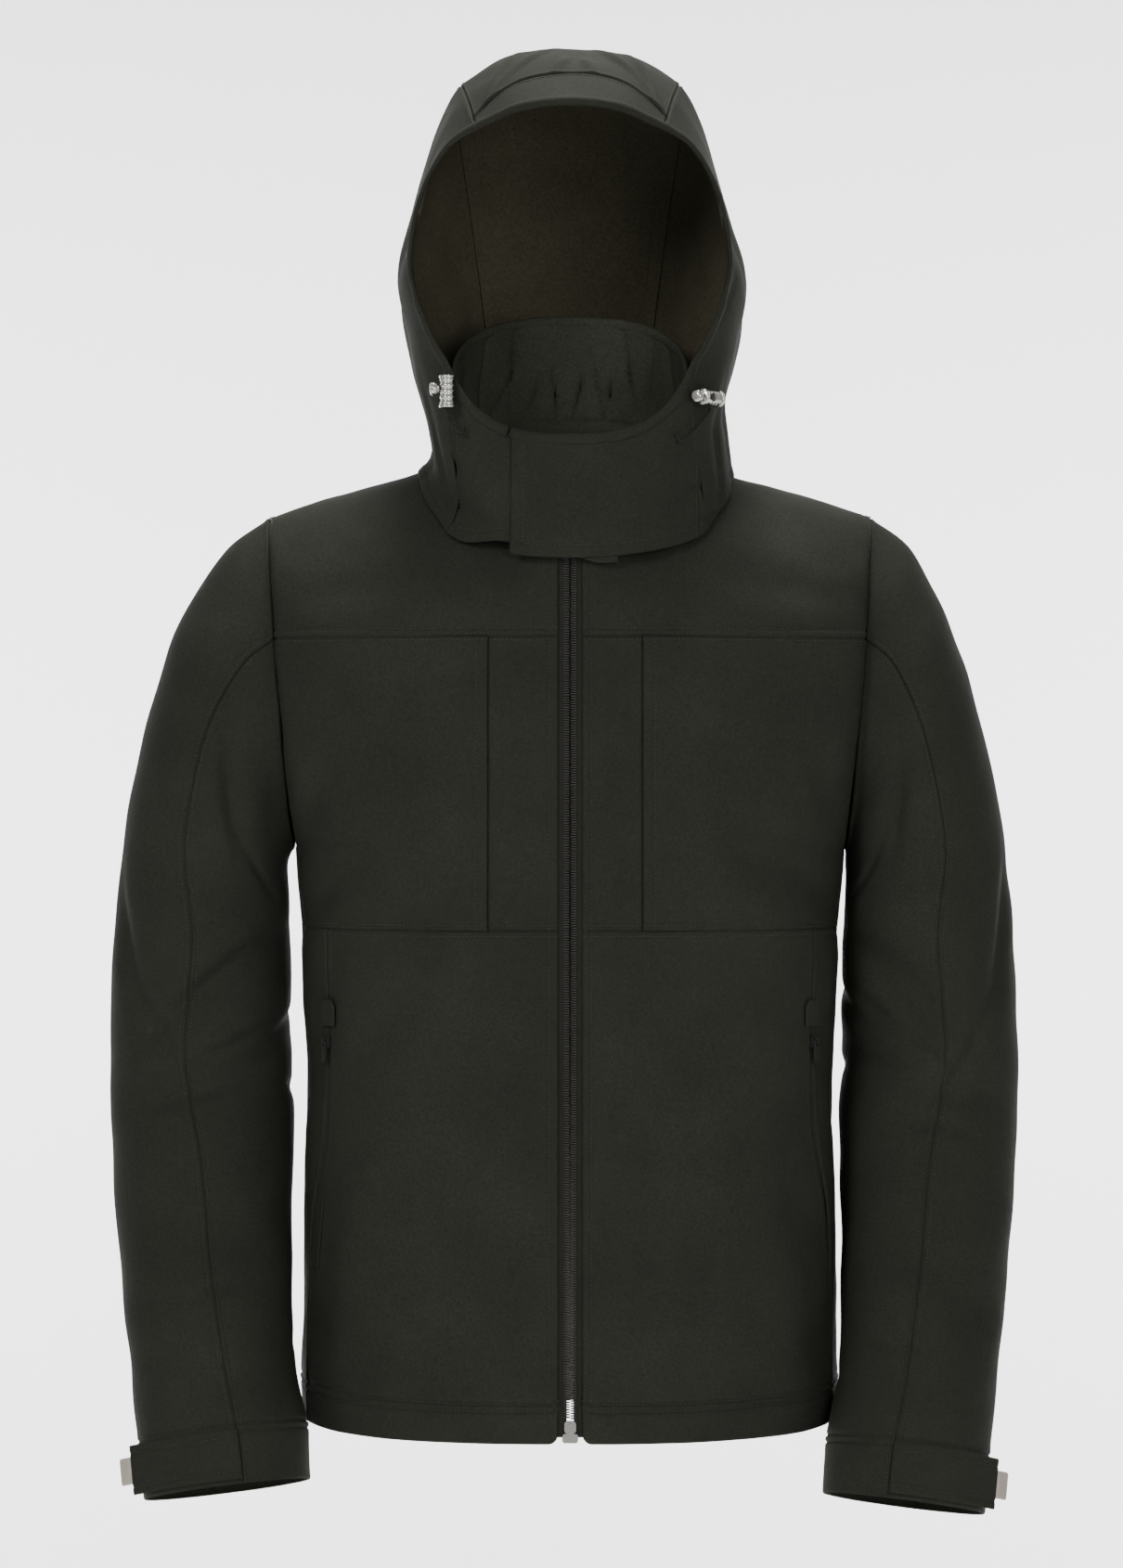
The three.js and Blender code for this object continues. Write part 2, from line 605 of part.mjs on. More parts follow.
const underTurns = steps(0.5, ARM_SEAM, 6);
const armLevels = underTurns.map(
  (turn) => ARMHOLE.z + ARMHOLE.tall * Math.cos(turn * 2 * Math.PI),
);
armLevels[0] = UNDERARM_Z;
armLevels[armLevels.length - 1] = YOKE_Z;
const lowerLevels = [
  HEM_Z, -692, -655, -620, -600, -590, -562, -534, -505, -468, -428, -417, -409, -380,
  CHEST_SEAM_Z,
];
const chestLevels = [CHEST_SEAM_Z, -318, ...armLevels];
const yokeLevels = steps(YOKE_Z, YOKE_Z + YOKE_SPAN, 5);
const shoulderShares = [NECK_SHARE, 0.3, 0.44, 0.58, 0.71, 0.82, 0.92, 1];
const neckX = (turn) => NECK_X * Math.sin(turn * Math.PI);
const neckTurns = (pocket) => {
  const end = Math.asin(ZIP_EDGE / NECK_X) / Math.PI;
  const edge = Math.asin(pocket / NECK_X) / Math.PI;
  return [end, (end + edge) / 2, edge, 0.335, 0.42, 0.5];
};
const CHEST_MIDDLE = V(0, 0, -300);

for (const [name, side] of [["left", 1], ["right", -1]]) {
  const openingShare = (z) => shareAt(POCKET_X[name], Math.min(z, YOKE_Z));
  const inFront = { inside: CHEST_MIDDLE };
  const lowerUs = [0, 0.011, 0.024, 0.12, 0.28, 0.45, 0.6, 0.74, 0.86, 0.94, 1];
  addShell(
    `front_lower_${name}`, softshell,
    bodyPanel(true, side, zipShare, (z) => shareAt(pocketX(z) - pocketGap(z), z)),
    lowerUs, lowerLevels, inFront,
  );
  addShell(
    `side_panel_${name}`, softshell,
    bodyPanel(true, side, (z) => shareAt(pocketX(z) + pocketGap(z), z), () => 1),
    steps(0, 1, 4), lowerLevels, inFront,
  );
  addShell(
    `chest_inner_${name}`, softshell,
    bodyPanel(true, side, zipShare, openingShare),
    steps(0, 1, 3), chestLevels, inFront,
  );
  const start = openingShare(YOKE_Z);
  const outerUs = [0, ...shoulderShares.map((w) => (w - start) / (1 - start))];
  addShell(
    `chest_outer_${name}`, softshell,
    bodyPanel(true, side, openingShare, () => 1),
    outerUs, chestLevels,
    {
      inside: CHEST_MIDDLE,
      height: (u) => POCKET_PROUD * (1 - smoothstep(u, 0.02, 0.2)),
      lean: bodyLean(outerUs, chestLevels),
    },
  );
  const yokeShares = [
    ...neckTurns(POCKET_X[name]).slice(0, -1).map((turn) => shareAt(neckX(turn), YOKE_Z)),
    ...shoulderShares,
  ];
  addShell(
    `yoke_${name}`, softshell,
    (w, level) => toSide(body(true, w, level), side),
    yokeShares, yokeLevels,
    { inside: CHEST_MIDDLE, lean: bodyLean(yokeShares, yokeLevels) },
  );
}

const backShares = [
  ...[0.125, 0.25, 0.375].map((turn) => shareAt(neckX(turn), YOKE_Z)),
  ...shoulderShares,
];
const backUs = [...backShares.map((w) => -w).reverse(), 0, ...backShares];
const backLevels = [
  HEM_Z, -660, -600, -535, -468, -400, ...chestLevels, ...yokeLevels.slice(1),
];
addShell(
  "back", softshell,
  (w, level) => {
    const p = body(false, Math.abs(w), level);
    p.z += hemLift(false, Math.abs(w), level);
    return toSide(p, Math.sign(w) || 1);
  },
  backUs, backLevels,
  { inside: CHEST_MIDDLE, lean: bodyLean(backUs, backLevels, true) },
);

// Sleeves and cuff tabs
const sleeveTs = [
  0, 0.025, 0.05, 0.085, 0.12, 0.16, 0.21, 0.27, 0.34, 0.4, 0.44, 0.48, 0.52, 0.57, 0.63,
  0.7, 0.77, 0.84, 0.9, 0.955, 1,
];
const sleeveLean = (p, n, i, j) => (j === 0 ? armholeLean(p, n) : n);
const TAB = { from: 0.95, to: 0.996, leave: 0.125, free: 31, wall: 1.6 };
const GRIP = { from: 0.24, to: 0.78, long: 12, wall: 2.2 };

for (const [name, arm] of Object.entries(arms)) {
  const middle = V(270 * arm.side, 0, -350);
  const folded = (turnAt) => (u, t) =>
    troughs(sleeveFolds, (((turnAt(u, t) % 1) + 1) % 1) * SLEEVE_ROUND, t * SLEEVE_LONG) *
    smoothstep(t, 0.02, 0.1);
  const upperTurn = (u, t) =>
    u < 0.5 ? lerp(-ARM_SEAM, 0, u * 2) : lerp(0, frontSeam(t), u * 2 - 1);
  const underTurn = (u, t) =>
    u < 0.5 ? lerp(frontSeam(t), 0.5, u * 2) : lerp(0.5, BACK_SEAM, u * 2 - 1);
  addShell(
    `sleeve_upper_${name}`, softshell,
    (u, t) => sleeve(arm, upperTurn(u, t), t),
    steps(0, 1, 10), sleeveTs,
    { inside: middle, height: folded(upperTurn), lean: sleeveLean },
  );
  addShell(
    `sleeve_under_${name}`, softshell,
    (u, t) => sleeve(arm, underTurn(u, t), t),
    steps(0, 1, 12), sleeveTs,
    { inside: middle, height: folded(underTurn), lean: sleeveLean },
  );
  const tabTurn = (u, t) => lerp(frontSeam(t), TAB.leave, Math.min(u, 1));
  const tab = (u, t) => {
    const p = sleeve(arm, tabTurn(u, t), t);
    if (u <= 1) return p;
    const ahead = p.clone().sub(sleeve(arm, TAB.leave + 0.002, t)).normalize();
    return p.addScaledVector(ahead, (u - 1) * TAB.free);
  };
  const inside = sleeve(arm, 0.15, 0.98).lerp(sleeve(arm, 0.65, 0.98), 0.5);
  const raised = TAB.wall + LAP;
  addShell(
    `cuff_tab_${name}`, softshell, tab,
    [0, 0.2, 0.4, 0.6, 0.8, 1, 1.35, 1.7, 2], [TAB.from, 0.973, TAB.to],
    { inside, wall: TAB.wall, height: (u, t) => raised + folded(tabTurn)(u, t) },
  );
  const tabSpan = TAB.to - TAB.from;
  addShell(
    `cuff_grip_${name}`, greyRubber, tab,
    [2, 2 + GRIP.long / TAB.free],
    [TAB.from + tabSpan * GRIP.from, TAB.from + tabSpan * 0.5, TAB.from + tabSpan * GRIP.to],
    { inside, wall: GRIP.wall, height: () => raised + 0.3 },
  );
}

// Hood panels
const RIM_WIDE = 8.6; // width of the rolled edge
const HOOD_MIDDLE = V(0, 10, 130);
const ROLL_FOOT = 0.265; // the rolled edge crosses the chin seam above this
// How far a piece is cut back along one parameter to clear a roll that runs along the other.
const ROLL_CLEAR = 0.4;
function rollCut(at, u, v, alongU, wide) {
  const e = 1e-3;
  const edge = at(u, v);
  const run = alongU ? at(u, v + e).sub(at(u, v - e)) : at(u + e, v).sub(at(u - e, v));
  const into = alongU ? at(u + e, v).sub(edge) : at(u, v - e).sub(edge);
  return (wide + ROLL_CLEAR) / run.normalize().cross(into.normalize()).length();
}
const hoodAt = (u, f) => hood(f, u);
const behindRim = (f) =>
  lerp(
    0.4 - SEAM,
    rollCut(hoodAt, 0, Math.max(f, CHIN_TOP + 0.002), true, RIM_WIDE),
    clamp((f - ROLL_FOOT) / (CHIN_TOP - ROLL_FOOT), 0, 1),
  );
const sideFs = [
  0, 0.08, 0.16, 0.24, ROLL_FOOT, 0.293, CHIN_TOP, 0.37, 0.43, 0.5, 0.57, 0.64, 0.71, 0.77,
  CENTRE_SEAM,
];
// Share u at which the cloth starts behind the rolled edge, found by walking in from the border.
const crownFs = steps(CENTRE_SEAM, 1, 6);
const startRows = [...sideFs.slice(0, -1), ...crownFs].map((f) => {
  let left = behindRim(f);
  let u = 0;
  while (left > 1e-6) {
    const stride = Math.min(left, 1);
    u += (stride * 1e-3) / hood(f, u + 1e-3).distanceTo(hood(f, u));
    left -= stride;
  }
  return { f, u };
});
const hoodStart = (f) => along(startRows, "f", f, "u");
const BRIM = { mid: 0.13, end: hoodStart(CENTRE_SEAM) + 0.02 };
const centreUs = [0, 0.06, 0.14, 0.24, 0.35, 0.47, 0.6, 0.72, 0.82, 0.9, 0.95, 1];
const sideUs = centreUs.map(
  (k) => (lerp(BRIM.end, 1, k) - hoodStart(CENTRE_SEAM)) / (1 - hoodStart(CENTRE_SEAM)),
);
const brimReach = (c) => lerp(BRIM.end, BRIM.mid, (1 - c * c) ** 0.8);

for (const [name, side] of [["left", 1], ["right", -1]])
  addShell(
    `hood_side_${name}`, softshell,
    (k, f) => hood(side > 0 ? f : 2 - f, lerp(hoodStart(f), 1, k)),
    [0, ...sideUs], sideFs,
    { inside: HOOD_MIDDLE },
  );

const crownCs = steps(-1, 1, 12);
const crownF = (c) => 1 - (1 - CENTRE_SEAM) * c;
addShell(
  "hood_brim", softshellTop,
  (k, c) => {
    const start = hoodStart(1 - Math.abs(1 - crownF(c)));
    return hood(crownF(c), lerp(start, brimReach(c), k));
  },
  [0, 1], crownCs,
  { inside: HOOD_MIDDLE },
);
addShell(
  "hood_centre", softshellTop,
  (k, c) => hood(crownF(c), lerp(brimReach(c), 1, k)),
  centreUs, crownCs,
  { inside: HOOD_MIDDLE },
);

// Chin pieces: the flap lies over the under piece
const FLAP_EDGE = -0.412;
const UNDER_EDGE = 0.326;
const flapHeight = (s) => (CLOTH + LAP) * (1 - smoothstep(s, 0.5, 0.9));
const chinVs = [0, 0.25, 0.5, 0.75, 1];
const CHIN_INSIDE = V(0, 0, 0);
// The upper edge climbs at the sides, so it is cut back further there along the height.
const underRoll = (s) => rollCut(chin, clamp(s, -0.998, 0.998), 1, false, RIM_WIDE);
addShell("chin_guard", softshell, chin, steps(-1, UNDER_EDGE, 9), chinVs, {
  inside: CHIN_INSIDE,
  trim: { v1: underRoll },
});
addShell("chin_flap", softshell, chin, steps(FLAP_EDGE, 1, 10), chinVs, {
  inside: CHIN_INSIDE,
  height: flapHeight,
  trim: { v1: underRoll },
});

// Section of a rolled edge at a point of a piece's border.
// away points into the piece, run goes along the border, and their cross product faces out.
function rollRing(point, away, run, wide, thick, lift, count = 8) {
  run.normalize();
  away.addScaledVector(run, -away.dot(run)).normalize();
  const out = away.clone().cross(run).normalize();
  const middle = point.clone().addScaledVector(away, wide / 2).addScaledVector(out, lift);
  return ovalRing(middle, away, out, wide / 2 - 0.1, thick / 2, count);
}
const RIM_THICK = 4;
const RIM_LIFT = -0.6;
const chinRoll = (s) => {
  const e = 1e-3;
  const near = clamp(s, -1 + e, 1 - e);
  const lift = s > FLAP_EDGE - 0.001 ? flapHeight(s) : 0;
  return rollRing(
    chin(s, 1),
    chin(near, 1 - e).sub(chin(near, 1)),
    chin(near + e, 1).sub(chin(near - e, 1)),
    RIM_WIDE, RIM_THICK, RIM_LIFT + lift,
  );
};
const hoodRoll = (f) => {
  const e = 1e-3;
  return rollRing(
    hood(f, 0), hood(f, e).sub(hood(f, 0)), hood(f + e, 0).sub(hood(f - e, 0)),
    RIM_WIDE, RIM_THICK, RIM_LIFT,
  );
};
const rollFs = [0.335, ...sideFs.slice(7), ...steps(CENTRE_SEAM, 1, 6).slice(1, -1)];
addLoft("hood_rim", softshell, [
  ...steps(FLAP_EDGE + 0.004, 0.97, 10).map(chinRoll),
  ...rollFs.map(hoodRoll),
  hoodRoll(1),
  ...rollFs.map((f) => hoodRoll(2 - f)).reverse(),
  ...steps(-0.97, FLAP_EDGE - 0.015, 5).map(chinRoll),
]);

// Collar, counted from the middle of its back (0) to its front ends
const COLLAR_END = 1 - Math.asin(ZIP_EDGE / NECK_X) / Math.PI;
const COLLAR_ROLL = { wide: 8, thick: 4.4 };
const collarAt = (c, v) => collar((Math.sign(c) || 1) * (1 - Math.abs(c)), v);
const collarCs = [
  ...neckTurns(POCKET_X.right).slice(0, -1).map((turn) => turn - 1),
  ...steps(-0.5, 0.5, 4 * GATHERS),
  ...neckTurns(POCKET_X.left).slice(0, -1).map((turn) => 1 - turn).reverse(),
];
addShell("collar", innerCloth, collarAt, collarCs, [0, 0.3, 0.65, 1], {
  inside: V(0, 0, 20),
  wall: COLLAR_WALL,
  height: (c, v) => gathers(1 - Math.abs(c), v),
  trim: {
    v0: 0.6,
    v1: (c) =>
      rollCut(collarAt, clamp(c, 0.002 - COLLAR_END, COLLAR_END - 0.002), 1, false, COLLAR_ROLL.wide),
  },
});
addLoft(
  "collar_roll",
  innerCloth,
  collarCs.map((spot) => {
    const e = 1e-3;
    const c = clamp(spot, -COLLAR_END + e, COLLAR_END - e);
    return rollRing(
      collarAt(c, 1),
      collarAt(c, 1 - e).sub(collarAt(c, 1)),
      collarAt(c + e, 1).sub(collarAt(c - e, 1)),
      COLLAR_ROLL.wide, COLLAR_ROLL.thick, 0.4, 6,
    );
  }),
);

// Front zip: two tapes behind the front edges, a coil on each, and the metal at the hem
const TAPE = { from: 2.5, to: 14, wall: 0.8, top: -38, deep: CLOTH + 1.2 };
const COIL = { from: 0.3, to: 2.2, wall: 1.9, foot: -700 };
const frontAt = (side) => (x, level) => {
  const p = body(true, shareAt(x, Math.min(level, YOKE_Z)), level);
  return toSide(V(x, p.y, p.z), side);
};
const tapeLevels = [
  HEM_Z + 5, -640, -560, -470, -400, -345, -285, -230, -180, ...steps(YOKE_Z, TAPE.top, 4),
];
for (const [name, side] of [["left", 1], ["right", -1]]) {
  addShell(`zip_tape_${name}`, tapeCloth, frontAt(side), [TAPE.from, TAPE.to], tapeLevels, {
    inside: CHEST_MIDDLE,
    wall: TAPE.wall,
    height: () => -TAPE.deep,
  });
  addShell(
    `zip_coil_${name}`, blackNylon, frontAt(side),
    [COIL.from, COIL.to], [COIL.foot, ...tapeLevels.slice(1)],
    { inside: CHEST_MIDDLE, wall: COIL.wall, height: () => 0.6 - TAPE.deep, trim: { u0: 0, u1: 0 } },
  );
}

// Hard fittings, each in a frame of right, up and out
const wasm = await Module();
wasm.setup();
const { Manifold } = wasm;
const box = (x, y, z) => Manifold.cube([x, y, z], true);
const rod = (long, radius, count = 14) => Manifold.cylinder(long, radius, radius, count, true);

const roundedPlate = (wide, tall, radius, thick) => {
  const corner = Manifold.cylinder(thick, radius, radius, 12, true);
  const x = wide / 2 - radius;
  const y = tall / 2 - radius;
  return Manifold.hull([
    corner.translate([x, y, 0]),
    corner.translate([-x, y, 0]),
    corner.translate([x, -y, 0]),
    corner.translate([-x, -y, 0]),
  ]);
};

function addFitting(name, material, solid, frame) {
  const { at, up, out } = frame;
  const right = up.clone().cross(out);
  const mesh = solid.getMesh();
  const points = [];
  for (let i = 0; i < mesh.numVert; i += 1) {
    const [x, y, z] = mesh.vertProperties.slice(i * mesh.numProp, i * mesh.numProp + 3);
    points.push(
      at.clone().addScaledVector(right, x).addScaledVector(up, y).addScaledVector(out, z),
    );
  }
  const faces = [];
  for (let i = 0; i < mesh.triVerts.length; i += 3)
    faces.push([mesh.triVerts[i], mesh.triVerts[i + 1], mesh.triVerts[i + 2]]);
  return addBody(name, material, points, faces);
}

const FRONT = V(0, -1, 0);
const UP = V(0, 0, 1);
const hemFront = body(true, 0.01, -709).y;
const ZIP_SLIDER = { wide: 8.4, tall: 8.7, z: -705.2 };
const ZIP_BOX = { wide: 11.6, tall: 6.8, z: -713.3 };
const METAL_THICK = 3.2;
const metalFrame = (z) => ({ at: V(0, hemFront + 0.1, z), up: UP, out: FRONT });
addFitting(
  "zip_slider", silver,
  roundedPlate(ZIP_SLIDER.wide, ZIP_SLIDER.tall, 2, METAL_THICK)
    .add(roundedPlate(3.4, 5.6, 1.2, 1.4).translate([0, 0, METAL_THICK / 2 + 0.5])),
  metalFrame(ZIP_SLIDER.z),
);
addFitting(
  "zip_box", silver,
  roundedPlate(ZIP_BOX.wide, ZIP_BOX.tall, 2, METAL_THICK)
    .subtract(box(0.8, 3, 2).translate([0, 1, METAL_THICK / 2])),
  metalFrame(ZIP_BOX.z),
);

// Side pockets: zip strip, its garage, slider with a bridge, and the pull hanging from it
const POCKET_SLIDER = { z: -428, body: [4.3, 8.4, 3.3], legs: 3.9, hole: [1.9, 1.9] };
const PULL = { wide: 5, tall: 16.5, thick: 1.2, eye: [2.7, 3], bar: 1.1 };
const PIVOT_OUT = 2.25; // height of the pull's hinge above the cloth
for (const [name, side] of [["left", 1], ["right", -1]]) {
  const seamAt = (off, z) => toSide(body(true, shareAt(pocketX(z) + off, z), z), side);
  const stripLevels = [-598, -562, -534, -505, -468, -440, POCKET_ZIP.top + 1];
  addShell(`pocket_zip_${name}`, tapeCloth, seamAt, [-5, 0, 5], stripLevels, {
    inside: CHEST_MIDDLE,
    wall: 1.2,
    height: () => -(CLOTH + 1.2),
  });
  const garageWide = (z) => 5.5 * Math.sqrt(clamp((-396 - z) / 6, 0.15, 1));
  addShell(
    `pocket_garage_${name}`, softshell,
    (k, z) => seamAt(-1.5 + k * garageWide(z), z),
    [-1, 0, 1], [-417, -409, -402, -399, -397],
    { inside: CHEST_MIDDLE, wall: 1, height: () => LAP + 1 },
  );
  const at = seamAt(0, POCKET_SLIDER.z);
  const out = normalOf(seamAt, 0, POCKET_SLIDER.z, 0.5, 0.5, [-5, 5, -600, -400]);
  if (out.dot(at) < 0) out.negate();
  out.z = 0;
  out.normalize();
  const frame = { at, up: UP, out };
  const bridge = box(1.9, POCKET_SLIDER.legs, 3.2)
    .translate([0, 0, PIVOT_OUT + 0.15])
    .subtract(box(4, ...POCKET_SLIDER.hole).translate([0, 0, PIVOT_OUT]));
  addFitting(
    `pocket_slider_${name}`, blackNylon,
    box(...POCKET_SLIDER.body).translate([0, -0.6, -0.65]).add(bridge),
    frame,
  );
  const plate = roundedPlate(PULL.wide, PULL.tall, 1.6, PULL.thick)
    .translate([0, PULL.bar / 2 - PULL.tall / 2, 0])
    .subtract(
      box(PULL.eye[0], PULL.eye[1], 3).translate([0, -PULL.bar / 2 - PULL.eye[1] / 2, 0]),
    );
  addFitting(`pocket_pull_${name}`, blackNylon, plate, {
    at: at.clone().addScaledVector(out, PIVOT_OUT),
    up: UP,
    out,
  });
}

// Cord locks on short elastic cords beside the chin piece
const LOCK = { long: 26, radius: 5.6, flange: 6.3, hole: 2, deep: 7 };
const CORD_RADIUS = 1.3;
const barrel = rod(LOCK.long, LOCK.radius)
  .add(rod(2.4, LOCK.flange).translate([0, 0, LOCK.long / 2 - 2.2]))
  .add(rod(2.4, LOCK.flange).translate([0, 0, 2.2 - LOCK.long / 2]));
const button = rod(2, 3)
  .translate([0, 0, 1])
  .add(Manifold.cylinder(1.4, 3.6, 5, 14).translate([0, 0, 1.6]))
  .add(Manifold.cylinder(2.6, 5, 5, 14).translate([0, 0, 3]))
  .add(Manifold.cylinder(1.4, 5, 3.6, 14).translate([0, 0, 5.6]));

// A round cord along a smooth path.
function addCord(name, material, stops, radius, count) {
  const path = new THREE.CatmullRomCurve3(stops);
  const rings = steps(0, 1, count).map((f) => {
    const run = path.getTangent(f);
    const right = run.clone().cross(UP).normalize();
    return ovalRing(path.getPoint(f), right, right.clone().cross(run), radius, radius, 8);
  });
  return addLoft(name, material, rings);
}

// Wearer's right: the barrel stands upright, its button out to the side, the cord from below.
const rightLock = V(-89.6, -105, 49);
const endHole = rod(LOCK.deep, LOCK.hole).translate([0, 0, 3 - LOCK.long / 2]);
addFitting("cord_lock_right", silver, barrel.subtract(endHole), {
  at: rightLock, up: V(0, 1, 0), out: UP,
});
addFitting("lock_button_right", silver, button, {
  at: rightLock.clone().add(V(-LOCK.radius - 0.4, 0, 2)), up: UP, out: V(-1, 0, 0),
});
const rightEyelet = chin(-0.8, 0.78);
addCord("toggle_cord_right", blackNylon, [
  rightEyelet.clone().add(V(-1, -2.2, 0)),
  rightEyelet.clone().add(V(-4, -5, -4)),
  V(-88.5, -104.6, 27),
  V(-89.6, -105, 33),
  V(-89.6, -105, 40.5),
], CORD_RADIUS, 14);

// Wearer's left: the barrel lies along the side of the hood, its button towards the face.
const LEFT_LOCK = { f: 0.246, u: 0.055 };
const lockOut = normalOf(hoodAt, LEFT_LOCK.u, LEFT_LOCK.f, 1e-3, 1e-3, [0, 1, 0, 1]);
if (lockOut.x < 0) lockOut.negate();
lockOut.z = 0;
lockOut.normalize();
const lockAxis = UP.clone().cross(lockOut).normalize();
const leftLock = hood(LEFT_LOCK.f, LEFT_LOCK.u).addScaledVector(lockOut, LOCK.flange + 0.3);
const underHole = rod(LOCK.deep, LOCK.hole).rotate([90, 0, 0]).translate([0, -5.6, 0]);
const sideSlot = roundedPlate(6.6, 4.4, 2, 6).rotate([0, 90, 0]).translate([-5.6, 0, 5]);
addFitting("cord_lock_left", silver, barrel.subtract(underHole).subtract(sideSlot), {
  at: leftLock, up: UP, out: lockAxis,
});
addFitting("lock_button_left", silver, button, {
  at: leftLock.clone().addScaledVector(lockAxis, -LOCK.long / 2 - 0.4),
  up: UP,
  out: lockAxis.clone().negate(),
});
const leftEyelet = chin(0.8, 0.74);
addCord("toggle_cord_left", blackNylon, [
  leftEyelet.clone().add(V(1, -2.2, 0)),
  leftEyelet.clone().add(V(6, -5, -6)),
  leftLock.clone().add(V(-2, -1, -13)),
  leftLock.clone().add(V(0, 0, -8.5)),
  leftLock.clone().add(V(0, 0, -3)),
], CORD_RADIUS, 14);

export default jacket;
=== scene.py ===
"""Softshell jacket with a hood, filled out as if worn, with nobody in it.

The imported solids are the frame. Each sewn piece is built again here as a thin shell on
its solid's form, in millimetres, and turned to metres when its mesh is made. The front
faces -Y, +Z is up and the wearer's left arm is at +X.
"""

import math

import bpy
import numpy as np
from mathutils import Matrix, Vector


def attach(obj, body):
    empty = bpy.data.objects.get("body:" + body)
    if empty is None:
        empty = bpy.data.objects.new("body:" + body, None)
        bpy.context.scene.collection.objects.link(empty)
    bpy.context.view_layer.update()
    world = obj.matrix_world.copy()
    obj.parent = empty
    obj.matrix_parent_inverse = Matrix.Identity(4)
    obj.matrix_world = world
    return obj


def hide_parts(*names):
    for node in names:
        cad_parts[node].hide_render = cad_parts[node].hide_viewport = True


bl_info = {
    "name": "Softshell Jacket",
    "version": (1, 0, 0),
    "blender": (4, 5, 0),
    "location": "View3D > Sidebar > Jacket",
    "description": "Builds a hooded softshell jacket, filled out as worn",
    "category": "Add Mesh",
}

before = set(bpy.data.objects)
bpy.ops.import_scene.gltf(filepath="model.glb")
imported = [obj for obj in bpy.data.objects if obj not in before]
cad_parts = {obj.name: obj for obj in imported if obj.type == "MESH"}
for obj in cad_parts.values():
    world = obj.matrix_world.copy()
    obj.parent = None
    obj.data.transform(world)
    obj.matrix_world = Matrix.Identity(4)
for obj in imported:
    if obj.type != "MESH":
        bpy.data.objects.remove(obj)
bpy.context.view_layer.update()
BODY = "jacket"


# Numbers and tables


class Rows:
    """A short table with named columns, read between its rows along a smooth curve."""

    def __init__(self, names, *rows):
        self.columns = dict(zip(names.split(), np.array(rows, float).T))
        self.key = self.columns[names.split()[0]]

    def read(self, column, at):
        key, value = self.key, self.columns[column]
        last = len(key) - 1
        i = np.clip(np.searchsorted(key, at, side="left") - 1, 0, last - 1)
        before, after = np.maximum(i - 1, 0), np.minimum(i + 2, last)
        span = key[i + 1] - key[i]
        f = np.clip((at - key[i]) / span, 0, 1)
        leave = (value[i + 1] - value[before]) / (key[i + 1] - key[before]) * span
        arrive = (value[after] - value[i]) / (key[after] - key[i]) * span
        rise = f * f * (3 - 2 * f)
        hump = f * (1 - f) * ((1 - f) * leave - f * arrive)
        return value[i] + (value[i + 1] - value[i]) * rise + hump


def point(x, y, z):
    return np.stack(np.broadcast_arrays(x, y, z), axis=-1).astype(float)


def lerp(a, b, f):
    return a + (b - a) * f


def smoothstep(x, low, high):
    f = np.clip((x - low) / (high - low), 0, 1)
    return f * f * (3 - 2 * f)


def unit(v):
    return v / np.maximum(np.linalg.norm(v, axis=-1, keepdims=True), 1e-12)


def to_side(p, side):
    return p * np.array([side, 1.0, 1.0])


def bell(distance, half):
    return np.exp(-((distance / half) ** 2))


# Cut of the jacket (mm)

CLOTH = 1.5
HEM_Z, CHEST_SEAM_Z, UNDERARM_Z, YOKE_Z, YOKE_SPAN = -718, -345, -285, -130, 100
HEM_RISE, HEM_CORNER = 7, 7
SIDE_Y, SQUARE, ZIP_EDGE = 6, 2.5, 9
POCKET_X = {"left": 53, "right": 60}
POCKET_PROUD = 1.2
NECK_X = 84
NECK_FRONT, NECK_SIDE, NECK_BACK = (-104, -60), (8, 2), (72, 24)
ARMHOLE_X, ARMHOLE_OUT, ARMHOLE_Z, ARMHOLE_TALL = 216.5, 9.5, -161, 124
ARMHOLE_FRONT, ARMHOLE_BACK = 62, 72
ARM_SEAM = math.acos((YOKE_Z - ARMHOLE_Z) / ARMHOLE_TALL) / (2 * math.pi)
BACK_SEAM = 1 - ARM_SEAM

body_rows = Rows(
    "z half front back",
    (-718, 202, 127, 112),
    (-600, 201, 128, 106),
    (-470, 199, 124, 98),
    (-345, 203, 124, 108),
    (-285, 207, 123, 116),
    (-200, 213.5, 119, 118),
    (-130, 219, 113, 114),
)
shoulder_rows = Rows(
    "x z", (84, 2), (103, 0.7), (124, -7), (154, -15), (189, -24.5), (226, -37)
)
pocket_rows = Rows(
    "z x",
    (-718, 196),
    (-620, 196),
    (-590, 194.5),
    (-550, 190.5),
    (-525, 186),
    (-495, 182),
    (-460, 180.5),
    (-345, 180.5),
)
sleeve_rows = Rows(
    "t out_x out_z in_x in_z mid_y front back lean",
    (0, 226, -37, 207, -285, 6, 62, 72, 0),
    (0.05, 259, -62, 209, -289, 7, 68, 75, 0),
    (0.12, 292, -119, 210.5, -297, 9, 76, 80, 0),
    (0.2, 312, -180, 211, -309, 11, 77, 80, 0),
    (0.29, 329, -252, 210.5, -325, 13, 75, 77, 0),
    (0.4, 339.5, -340, 209, -358, 16, 72, 73, 0),
    (0.52, 344, -440, 207.5, -440, 18, 70, 71, 0),
    (0.64, 341, -520, 206.5, -518, 9, 67, 68, 0.1),
    (0.76, 333, -600, 206.5, -594, -13, 63, 65, 0.15),
    (0.87, 322, -672, 202, -662, -46, 60, 62, 0.18),
    (0.95, 314, -724, 192, -708, -71, 58, 60, 0.2),
    (1, 309, -761, 188, -745, -84, 58, 60, 0.2),
)
